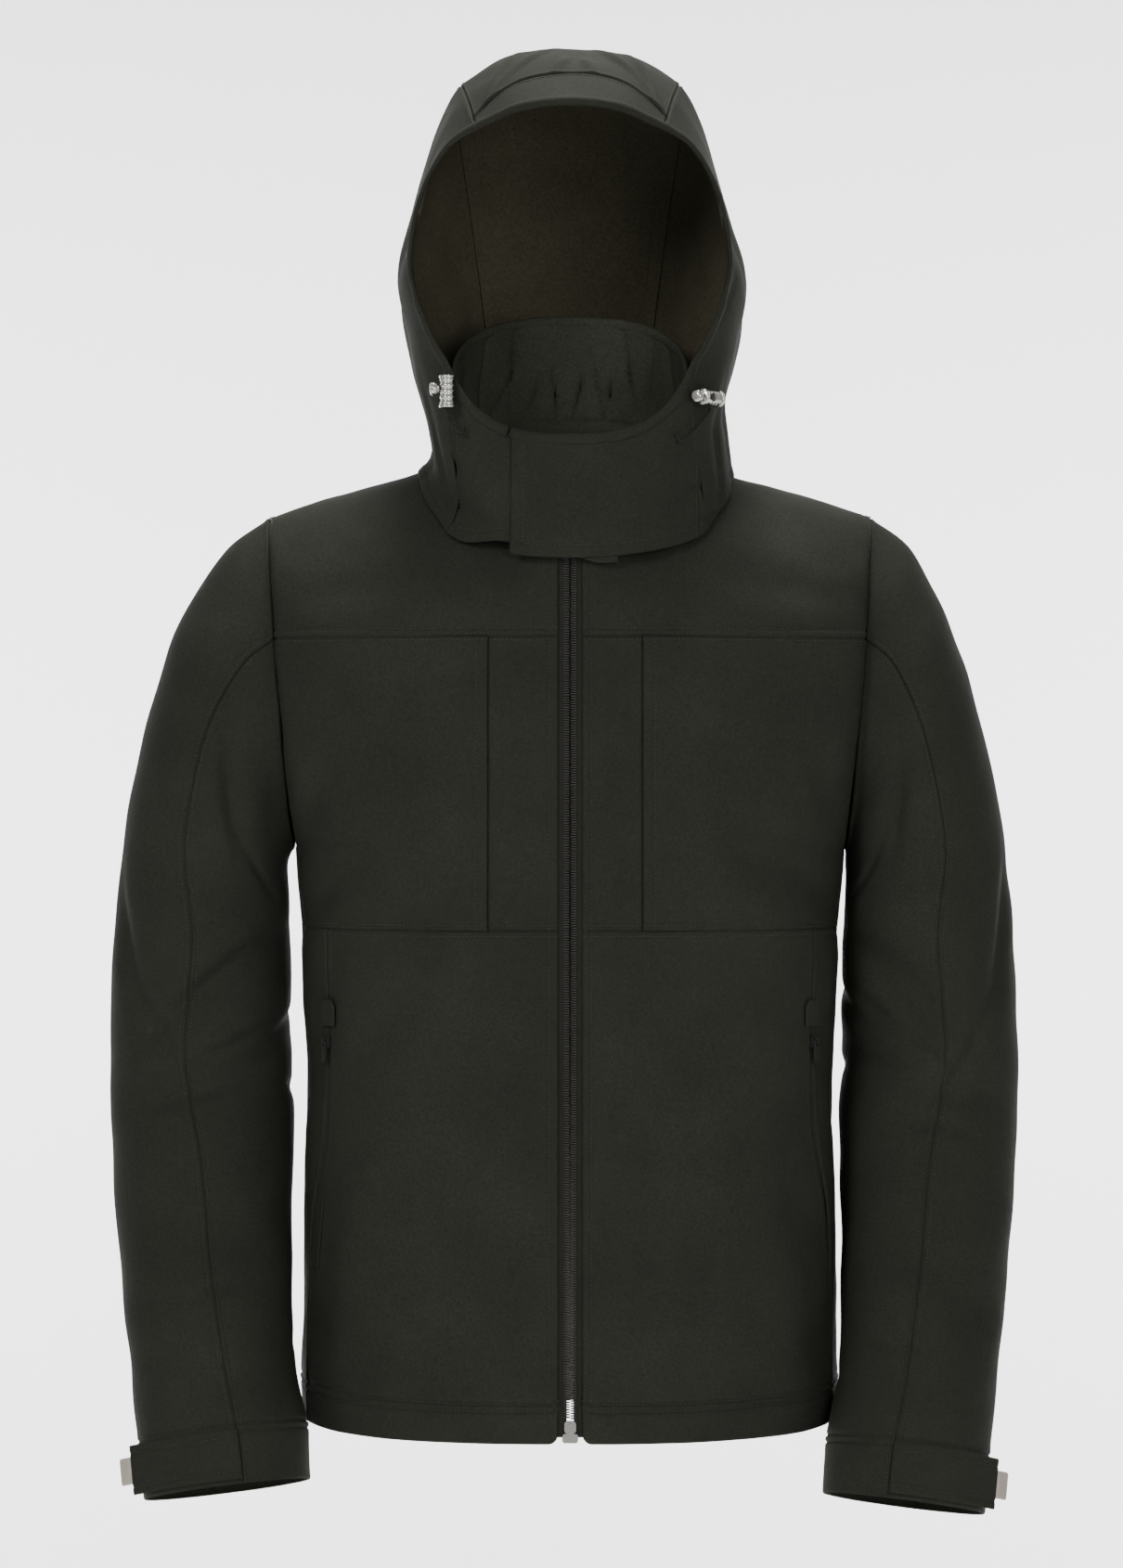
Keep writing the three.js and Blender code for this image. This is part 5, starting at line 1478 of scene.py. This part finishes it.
class JACKET_OT_hood(bpy.types.Operator):
    """Hood sides, centre panel and brim, with twin topstitching beside the seams"""

    bl_idname = "jacket.hood"
    bl_label = "Hood"

    def execute(self, context):
        size, look = settings()
        pitch = size.pitch * 1e3
        rows = []
        for name, side in SIDES.items():

            def side_surface(k, f, side=side):
                at = f if side > 0 else 2 - np.asarray(f)
                return hood(at, lerp(hood_start(f), 1, k))

            panel = Panel(
                f"hood_side_{name}_cloth", side_surface, (0, 1), (0, CENTRE_SEAM), HOOD_MIDDLE, pitch
            )
            u = lerp(hood_start(panel.v), 1, panel.u)
            f = panel.v if side > 0 else 2 - panel.v
            panel.raise_by(hood_height(panel, f, u, 31)).seams("v1", 1.2, 1)
            panel.turned("v0").stitch("v0", HOOD_FOOT_ROW).stitch("v1", HOOD_ROW, (0.03, 0.99))
            panel.finish().make(look["softshell"], "softshell", [f"hood_side_{name}"])
            rows += panel.thread()

        def crown_f(c):
            return 1 - (1 - CENTRE_SEAM) * c

        brim_end = float(hood_start(CENTRE_SEAM)) + 0.042

        def brim_reach(c):
            return lerp(brim_end, 0.13, np.maximum(1 - c * c, 0) ** 0.8)

        def brim_surface(k, c):
            f = crown_f(c)
            start = hood_start(1 - np.abs(1 - f))
            return hood(f, lerp(start, brim_reach(c), k))

        def centre_surface(k, c):
            return hood(crown_f(c), lerp(brim_reach(c), 1, k))

        brim = Panel("hood_brim_cloth", brim_surface, (0, 1), (-1, 1), HOOD_MIDDLE, 2.5)
        brim.raise_by(unevenness(brim.flat, 40, 0.3, 33)).seams("u1 v0 v1", 1, 0.8)
        brim.stitch("u1 v0 v1", HOOD_ROW)
        brim.finish().make(look["softshell"], "softshell_top", ["hood_brim"])
        centre = Panel("hood_centre_cloth", centre_surface, (0, 1), (-1, 1), HOOD_MIDDLE, 2)
        u = lerp(brim_reach(centre.v), 1, centre.u)
        centre.raise_by(hood_height(centre, crown_f(centre.v), u, 34)).seams("u0 v0 v1", 1.2, 1)
        centre.raise_by(troughs(crown_creases, centre.flat[..., 0], centre.away["u0"]))
        centre.turned("u1").stitch("v0 v1", HOOD_ROW).finish()
        centre.make(look["softshell"], "softshell_top", ["hood_centre"])
        rows += brim.thread() + centre.thread()
        for name, side in SIDES.items():

            def tape_surface(u, off, side=side):
                f = CENTRE_SEAM + off
                return hood(f if side > 0 else 2 - f, u)

            tape = Panel(
                f"hood_seam_tape_{name}", tape_surface, (0.03, 0.985), (-0.018, 0.018), HOOD_MIDDLE, 5
            )
            tape.raise_by(-(CLOTH + 0.7)).finish().make(look["tape"], "inner_cloth", [], 0.5)
        stitching("stitching_hood", rows, size, look["thread"])
        return {"FINISHED"}


CHIN_SEAM_X = {-1: 86, 1: 96}

# Chin piece seen from the front: across (a) and height (b).
chin_creases = Rows(
    FOLD_NAMES,
    (-96, -12, 34, 22, 5.6, 2.2),
    (-84, -34, -30, 26, 4.2, 1.7),
    (-70, 6, 50, 22, 9.8, 1.2),
    (-52, -30, 12, 26, 12.6, 1.0),
    (62, -22, 38, 30, 11.2, 1.3),
    (84, -34, 28, 24, 5.6, 1.9),
    (100, -18, 34, 22, 4.9, 2.2),
    (106, -4, 40, 18, 5.6, -1.3),
    (24, 4, 8, 34, 14.0, 0.8),
)


def flap_height(s):
    proud = 0.9 * (1 - smoothstep(s, FLAP_EDGE + 0.02, FLAP_EDGE + 0.25))
    return (CLOTH + 0.4) * (1 - smoothstep(s, 0.5, 0.9)) + proud


def chin_seam(p):
    """The upright seam at each side of the chin piece."""
    height = np.zeros(p.shape[:-1])
    for side, x in CHIN_SEAM_X.items():
        height -= 0.6 * bell(p[..., 0] * side - x, 1.3) * (p[..., 0] * side > 0)
    return height


def guard_surface(s, v):
    """The guard ends above the flap's hem beside it, and hangs out under its far end."""
    low = 0.09 * smoothstep(s, -0.85, -0.45) * (1 - smoothstep(s, -0.3, -0.1))
    low = low - 0.05 * smoothstep(s, 0.05, 0.2)
    return chin(s, lerp(low, 1, v))


class JACKET_OT_chin(bpy.types.Operator):
    """Chin guard and the flap that laps over it"""

    bl_idname = "jacket.chin"
    bl_label = "Chin guard and flap"

    def execute(self, context):
        size, look = settings()
        rows = []
        inside = (0, 0, 0)
        guard = Panel("chin_guard_cloth", guard_surface, (-1, UNDER_EDGE), (0, 0.985), inside, 2)
        guard.raise_by(unevenness(guard.flat, 45, 0.35, 41) + chin_seam(guard.flat))
        guard.raise_by(troughs(chin_creases, guard.flat[..., 0], guard.flat[..., 2]))
        guard.turned("v0 u1", 0.8).stitch("v0", CHIN_ROW, (0, 0.5))
        guard.finish().make(look["softshell"], "softshell", ["chin_guard"])
        flap = Panel("chin_flap_cloth", chin, (FLAP_EDGE, 1), (0, 0.985), inside, 2)
        flap.raise_by(flap_height(flap.u) + unevenness(flap.flat, 45, 0.35, 42))
        flap.raise_by(troughs(chin_creases, flap.flat[..., 0], flap.flat[..., 2]))
        flap.raise_by(chin_seam(flap.flat)).turned("u0 v0", 0.9)
        flap.stitch("u0", FLAP_ROW, (0.09, 0.9)).stitch("v0", CHIN_ROW, (0.06, 1))
        flap.finish().make(
            look["softshell"], "softshell", ["chin_flap"], rests_on=["chin_guard"]
        )
        rows += guard.thread() + flap.thread()
        rows += [guard.upright(3 - CHIN_SEAM_X[-1]), flap.upright(CHIN_SEAM_X[1] - 3)]
        stitching("stitching_chin", rows, size, look["thread"])
        return {"FINISHED"}


def border(surface, run, level, inward):
    """Points of a border, the way in from it and the way along it."""
    e = 1e-3
    level = np.full_like(run, level)
    edge = surface(run, level)
    return (
        edge,
        surface(run, level + inward * e) - edge,
        surface(run + e, level) - surface(run - e, level),
    )


def roll_rings(points, aways, runs, wide, thick, lift, seed):
    """Rings of a rolled edge: oval sections that pucker a little along their length."""
    around = 14
    runs = unit(runs)
    aways = unit(aways - runs * (aways * runs).sum(-1, keepdims=True))
    outs = unit(np.cross(aways, runs))
    fat = 1 + unevenness(points, 13, 0.05, seed)[:, None]
    middle = points + aways * (wide / 2) + outs * np.reshape(lift, (-1, 1))
    a = np.arange(around) * 2 * np.pi / around
    return (
        middle[:, None]
        + aways[:, None] * ((wide / 2 - 0.1) * fat * np.cos(a))[..., None]
        + outs[:, None] * (np.reshape(thick, (-1, 1)) / 2 * fat * np.sin(a))[..., None]
    )


class JACKET_OT_rolled_edge(bpy.types.Operator):
    """Rolled edge round the face opening"""

    bl_idname = "jacket.rolled_edge"
    bl_label = "Rolled edge"

    def execute(self, context):
        look = settings()[1]

        def chin_rings(s):
            lift = RIM_LIFT + np.where(s > FLAP_EDGE - 1e-3, flap_height(s), 0)
            return roll_rings(*border(chin, s, 1, -1), RIM_WIDE, RIM_THICK, lift, 51)

        def hood_rings(f):
            round_top = 3 * smoothstep(1 - np.abs(1 - f), 0.72, 0.92)
            thick, lift = RIM_THICK + round_top, RIM_LIFT + round_top / 2
            return roll_rings(*border(hood, f, 0, 1), RIM_WIDE, thick, lift, 51)

        rings = np.concatenate(
            [
                chin_rings(np.linspace(FLAP_EDGE + 0.004, 0.97, 44)),
                hood_rings(np.linspace(0.335, 2 - 0.335, 210)),
                chin_rings(np.linspace(-0.97, FLAP_EDGE - 0.015, 22)),
            ]
        )
        made = loft("hood_rolled_edge", rings, look["softshell"])
        keep(made, ["hood_rim"])
        return {"FINISHED"}


class JACKET_OT_collar(bpy.types.Operator):
    """Collar stand inside the hood, gathered at the back, with its rolled top"""

    bl_idname = "jacket.collar"
    bl_label = "Collar"

    def execute(self, context):
        look = settings()[1]
        ends = (-COLLAR_END, COLLAR_END)
        panel = Panel("collar_cloth", collar, ends, (0, 0.96), (0, 0, 20), 1.7)
        c, v = panel.u, panel.v
        turn = 1 - np.abs(c)
        wave = np.cos((1 - turn) * 2 * np.pi * GATHERS)
        up = np.sin(np.pi * np.clip(v, 0, 1)) ** 0.8
        panel.raise_by(0.35 * GATHER_DEEP * wave * smoothstep(turn, 0.45, 0.65) * up)
        creases = troughs(collar_creases, panel.flat[..., 0], panel.flat[..., 2])
        above = smoothstep(v, COLLAR_SEAM, COLLAR_SEAM + 0.04)
        panel.raise_by(-creases * smoothstep(panel.flat[..., 1], 0, 40) * above)
        panel.raise_by(2.2 * bell((v - COLLAR_SEAM) * COLLAR_TALL, 1.6))
        panel.raise_by(unevenness(panel.flat, 16, 0.5, 61) * up).turned("v0", 0.4)
        # The collar's paler cloth is painted fill light for its shade inside the hood.
        panel.finish().make(
            look["collar_painted_fill"],
            "inner_cloth",
            ["collar"],
            COLLAR_WALL,
            "gathered",
            ["back", "yoke_left"],
            "collar_painted_fill",
        )
        spots = np.clip(np.linspace(*ends, 150), 1e-3 - COLLAR_END, COLLAR_END - 1e-3)
        rings = roll_rings(*border(collar, spots, 1, -1), *COLLAR_ROLL, 62)
        made = loft("collar_rolled_top", rings, look["collar_painted_fill"])
        keep(made, ["collar_roll"])
        return {"FINISHED"}


TAPE_DEEP, COIL_FOOT = CLOTH + 1.2, -700
ZIP_TOP, TAPE_EDGES, TAPE_WALL = -38, (2.5, 14), 0.8
TOOTH_MIDDLE, TOOTH_HALF, TOOTH_HIGH, TOOTH_FILL = 1.4, 2.6, 1.0, 0.36

# Rings of one tooth: share of its half length and how fat it is there
TOOTH_SHARES, TOOTH_FATS, TOOTH_SIDES = (-1, -0.8, -0.2, 0.6, 1), (0.35, 0.85, 1, 1, 0.5), 8


def front_surface(side):
    def surface(x, level):
        w = share_at(x, np.minimum(level, YOKE_Z))
        p = body(True, w, level)
        return point(np.asarray(x) * side, p[..., 1], p[..., 2])

    return surface


class JACKET_OT_front_zip(bpy.types.Operator):
    """Tapes and teeth of the front zip, and the metal at the hem"""

    bl_idname = "jacket.front_zip"
    bl_label = "Front zip"

    def execute(self, context):
        size, look = settings()
        for name, side in SIDES.items():
            surface = front_surface(side)
            tape = Panel(
                f"zip_tape_{name}_woven", surface, TAPE_EDGES, (HEM_Z + 5, ZIP_TOP), CHEST_MIDDLE, 6
            )
            tape.raise_by(-TAPE_DEEP).finish()
            tape.make(look["tape"], "zip_tape", [f"zip_tape_{name}"], TAPE_WALL)
            t = np.linspace(COIL_FOOT, ZIP_TOP, 4000)
            line = surface(np.full_like(t, 1.3), t)
            s = np.concatenate([[0], np.cumsum(np.linalg.norm(np.diff(line, axis=0), axis=1))])
            step = size.tooth_pitch * 1e3
            marks = np.arange(step * (0.5 if side > 0 else 1), s[-1], step)
            at = np.stack([np.interp(marks, s, line[:, k]) for k in range(3)], 1)
            ahead = unit(np.stack([np.gradient(at[:, k]) for k in range(3)], 1))
            right = np.tile([1.0, 0, 0], (len(at), 1))
            out = unit(np.cross(ahead, right))
            out *= np.where(out[:, 1:2] > 0, -1, 1)
            at = at + right * side * TOOTH_MIDDLE - out * (TAPE_DEEP - 0.5)
            turn = np.arange(TOOTH_SIDES) * 2 * np.pi / TOOTH_SIDES
            teeth = spindles(
                [at + right * side * share * TOOTH_HALF for share in TOOTH_SHARES],
                TOOTH_FATS,
                ahead,
                out,
                np.cos(turn) * step * TOOTH_FILL,
                np.sin(turn) * TOOTH_HIGH,
            )
            made = new_mesh(f"zip_teeth_{name}", *teeth, look["teeth"])
            keep(made, [f"zip_coil_{name}"])
        for node in ("zip_slider", "zip_box"):
            finish_node(node, look["silver"], 0.0006)
        return {"FINISHED"}


def finish_node(node, material, edge):
    """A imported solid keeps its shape, gets its real finish and softened edges."""
    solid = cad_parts[node]
    solid.data.materials.clear()
    solid.data.materials.append(material)
    bevel = solid.modifiers.new("softened_edges", "BEVEL")
    bevel.width, bevel.segments, bevel.limit_method = edge, 2, "ANGLE"
    bevel.angle_limit = math.radians(35)


def pocket_seam(side):
    """The front beside the seam of the side pocket: distance off it and height."""

    def seam_at(off, z):
        return to_side(body(True, share_at(pocket_x(z) + off, z), z), side)

    return seam_at


class JACKET_OT_side_pockets(bpy.types.Operator):
    """Zips of the side pockets: strip with its coil, garage, slider and pull"""

    bl_idname = "jacket.side_pockets"
    bl_label = "Side pockets"

    def execute(self, context):
        look = settings()[1]
        for name, side in SIDES.items():
            seam_at = pocket_seam(side)
            strip = Panel(
                f"pocket_zip_{name}_woven", seam_at, (-5, 5), (STRIP_FOOT, POCKET_TOP + 1), CHEST_MIDDLE, 4
            )
            coil = 0.9 * bell(strip.away["u0"] - strip.away["u0"][-1].mean() / 2, 1.3)
            teeth = 1 + 0.3 * np.sin(strip.away["v0"] * 2 * np.pi / 3.2)
            strip.raise_by(coil * teeth - (CLOTH + 1.2)).finish()
            strip.make(look["tape"], "zip_tape", [f"pocket_zip_{name}"], 1.2)

            def garage_surface(k, z, seam_at=seam_at):
                wide = 5.5 * np.sqrt(np.clip((-396 - z) / 6, 0.15, 1))
                return seam_at(-1.5 + k * wide, z)

            garage = Panel(
                f"pocket_garage_{name}_cloth", garage_surface, (-1, 1), GARAGE_HEIGHTS, CHEST_MIDDLE, 2.5
            )
            garage.raise_by(1.4).turned("u0 u1 v0 v1", 0.5).finish()
            garage.make(look["softshell"], "softshell", [f"pocket_garage_{name}"], 1.0)
            finish_node(f"pocket_slider_{name}", look["nylon"], 0.0004)
            finish_node(f"pocket_pull_{name}", look["nylon"], 0.0003)
        return {"FINISHED"}


LOCK_LONG, LOCK_RADIUS, LOCK_FLANGE = 26, 5.6, 6.3
RIGHT_LOCK, LEFT_LOCK = (-89.6, -105, 49), (0.246, 0.055)  # a place, and a spot on the hood
CORD_RADIUS = 1.3


def turned_part(name, profile, at, axis, material, around=28):
    """A turned part: (distance along the axis, radius) spun round it."""
    axis = unit(np.array(axis, float))
    side = unit(np.cross(axis, [0.31, 0.22, 0.93]))
    up = np.cross(axis, side)
    a = np.arange(around) * 2 * np.pi / around
    rings = [
        np.array(at) + axis * z + (side * np.cos(a)[:, None] + up * np.sin(a)[:, None]) * r
        for z, r in profile
    ]
    return loft(name, np.stack(rings), material)


def barrel_profile():
    half = LOCK_LONG / 2 - 1
    profile = [(-half - 0.01, 0.6), (-half, LOCK_FLANGE - 0.8), (-half + 0.5, LOCK_FLANGE)]
    profile += [(-half + 1.9, LOCK_FLANGE), (-half + 2.5, LOCK_RADIUS)]
    for rib in np.linspace(-half + 3.4, half - 3.4, 5):
        profile += [(rib - 1.5, LOCK_RADIUS - 0.7), (rib - 0.8, LOCK_RADIUS)]
        profile += [(rib + 0.8, LOCK_RADIUS), (rib + 1.5, LOCK_RADIUS - 0.7)]
    profile += [(half - 2.5, LOCK_RADIUS), (half - 1.9, LOCK_FLANGE)]
    profile += [(half - 0.5, LOCK_FLANGE), (half, LOCK_FLANGE - 0.8), (half + 0.01, 0.6)]
    return profile


BUTTON_PROFILE = [
    (0, 3.0),
    (1.4, 3.0),
    (1.6, 3.8),
    (2.4, 4.6),
    (3.4, 5.0),
    (5.0, 5.0),
    (6.0, 4.6),
    (6.7, 3.8),
    (7.0, 2.4),
    (7.05, 0.3),
]


def smooth_path(stops, count):
    """A smooth line through its stops."""
    stops = np.array(stops, float)
    full = np.concatenate([[2 * stops[0] - stops[1]], stops, [2 * stops[-1] - stops[-2]]])
    f = np.linspace(0, len(stops) - 1, count)
    i = np.minimum(f.astype(int), len(stops) - 2)
    t = (f - i)[:, None]
    p0, p1, p2, p3 = (full[i + k] for k in range(4))
    return 0.5 * (
        2 * p1
        + (p2 - p0) * t
        + (2 * p0 - 5 * p1 + 4 * p2 - p3) * t**2
        + (3 * p1 - p0 - 3 * p2 + p3) * t**3
    )


def tube(name, path, radius, material, around=12):
    run = unit(np.gradient(path, axis=0))
    right = unit(np.cross(run, [0, 0, 1.0]) + 1e-9)
    up = np.cross(right, run)
    a = np.arange(around) * 2 * np.pi / around
    rings = path[:, None] + radius * (
        right[:, None] * np.cos(a)[None, :, None] + up[:, None] * np.sin(a)[None, :, None]
    )
    return loft(name, rings, material)


class JACKET_OT_cord_locks(bpy.types.Operator):
    """Spring cord locks on short elastic cords beside the chin piece"""

    bl_idname = "jacket.cord_locks"
    bl_label = "Cord locks"

    def execute(self, context):
        look = settings()[1]
        right_lock = np.array(RIGHT_LOCK)
        f, u = LEFT_LOCK
        e = 1e-3
        spot = hood(np.array(f), np.array(u))
        across = hood(np.array(f), np.array(u + e)) - hood(np.array(f), np.array(u - e))
        rise = hood(np.array(f + e), np.array(u)) - hood(np.array(f - e), np.array(u))
        out = np.cross(across, rise)
        out *= 1 if out[0] > 0 else -1
        out[2] = 0
        out = unit(out)
        axis = unit(np.cross([0, 0, 1], out))
        left_lock = spot + out * (LOCK_FLANGE + 0.3)
        profile = barrel_profile()
        places = {
            "left": (left_lock, axis, left_lock - axis * (LOCK_LONG / 2 + 0.4), -axis),
            "right": (
                right_lock,
                np.array([0, 0, 1.0]),
                right_lock + [-LOCK_RADIUS - 0.4, 0, 2],
                np.array([-1.0, 0, 0]),
            ),
        }
        for name, (at, way, button_at, button_way) in places.items():
            made = turned_part(f"cord_lock_{name}_barrel", profile, at, way, look["silver"])
            keep(made, [f"cord_lock_{name}"])
            made = turned_part(
                f"lock_button_{name}_knob", BUTTON_PROFILE, button_at, button_way, look["silver"]
            )
            keep(made, [f"lock_button_{name}"])
        # A thin dark nylon disc on the barrel: painted shade standing for the cord's opening.
        painted_hole_shade = turned_part(
            "cord_lock_left_painted_hole_shade",
            [(0, 3.4), (0.5, 3.2), (0.51, 0.3)],
            left_lock + out * (LOCK_RADIUS - 0.3) - axis * 3,
            out,
            look["nylon"],
        )
        keep(painted_hole_shade, [])
        right_eye, left_eye = chin(-0.8, 0.78), chin(0.8, 0.74)
        routes = {
            "right": [
                right_eye + [-1, -2.2, 0],
                right_eye + [-4, -5, -4],
                [-88.5, -104.6, 27],
                [-89.6, -105, 33],
                [-89.6, -105, 40.5],
            ],
            "left": [
                left_eye + [1, -2.2, 0],
                left_eye + [6, -5, -6],
                left_lock + [-2, -1, -13],
                left_lock + [0, 0, -8.5],
                left_lock + [0, 0, -3],
            ],
        }
        for name, stops in routes.items():
            path = smooth_path(stops, 41)
            made = tube(f"elastic_cord_{name}", path, CORD_RADIUS, look["cord"])
            keep(made, [f"toggle_cord_{name}"])
        return {"FINISHED"}


class JACKET_PT_panel(bpy.types.Panel):
    """Lists the jacket's pieces in the order they are made"""

    bl_idname = "JACKET_PT_panel"
    bl_label = "Softshell Jacket"
    bl_space_type = "VIEW_3D"
    bl_region_type = "UI"
    bl_category = "Jacket"

    def draw(self, context):
        layout = self.layout
        for group in (context.scene.jacket_sizes, context.scene.jacket_colours):
            for name in group.bl_rna.properties.keys():
                if name not in ("rna_type", "name"):
                    layout.prop(group, name)
        for operator in PIECES:
            layout.operator(operator.bl_idname)


PIECES = (
    JACKET_OT_stage,
    JACKET_OT_body,
    JACKET_OT_sleeves,
    JACKET_OT_cuff_tabs,
    JACKET_OT_hood,
    JACKET_OT_chin,
    JACKET_OT_rolled_edge,
    JACKET_OT_collar,
    JACKET_OT_front_zip,
    JACKET_OT_side_pockets,
    JACKET_OT_cord_locks,
)
CLASSES = (JacketSizes, JacketColours, *PIECES, JACKET_PT_panel)


def register():
    for known in CLASSES:
        bpy.utils.register_class(known)
    bpy.types.Scene.jacket_sizes = bpy.props.PointerProperty(type=JacketSizes)
    bpy.types.Scene.jacket_colours = bpy.props.PointerProperty(type=JacketColours)


def unregister():
    del bpy.types.Scene.jacket_colours
    del bpy.types.Scene.jacket_sizes
    for known in reversed(CLASSES):
        bpy.utils.unregister_class(known)


def main():
    register()
    bpy.ops.jacket.stage()
    bpy.ops.jacket.body()
    bpy.ops.jacket.sleeves()
    bpy.ops.jacket.cuff_tabs()
    bpy.ops.jacket.hood()
    bpy.ops.jacket.chin()
    bpy.ops.jacket.rolled_edge()
    bpy.ops.jacket.collar()
    bpy.ops.jacket.front_zip()
    bpy.ops.jacket.side_pockets()
    bpy.ops.jacket.cord_locks()


if __name__ == "__main__":
    main()
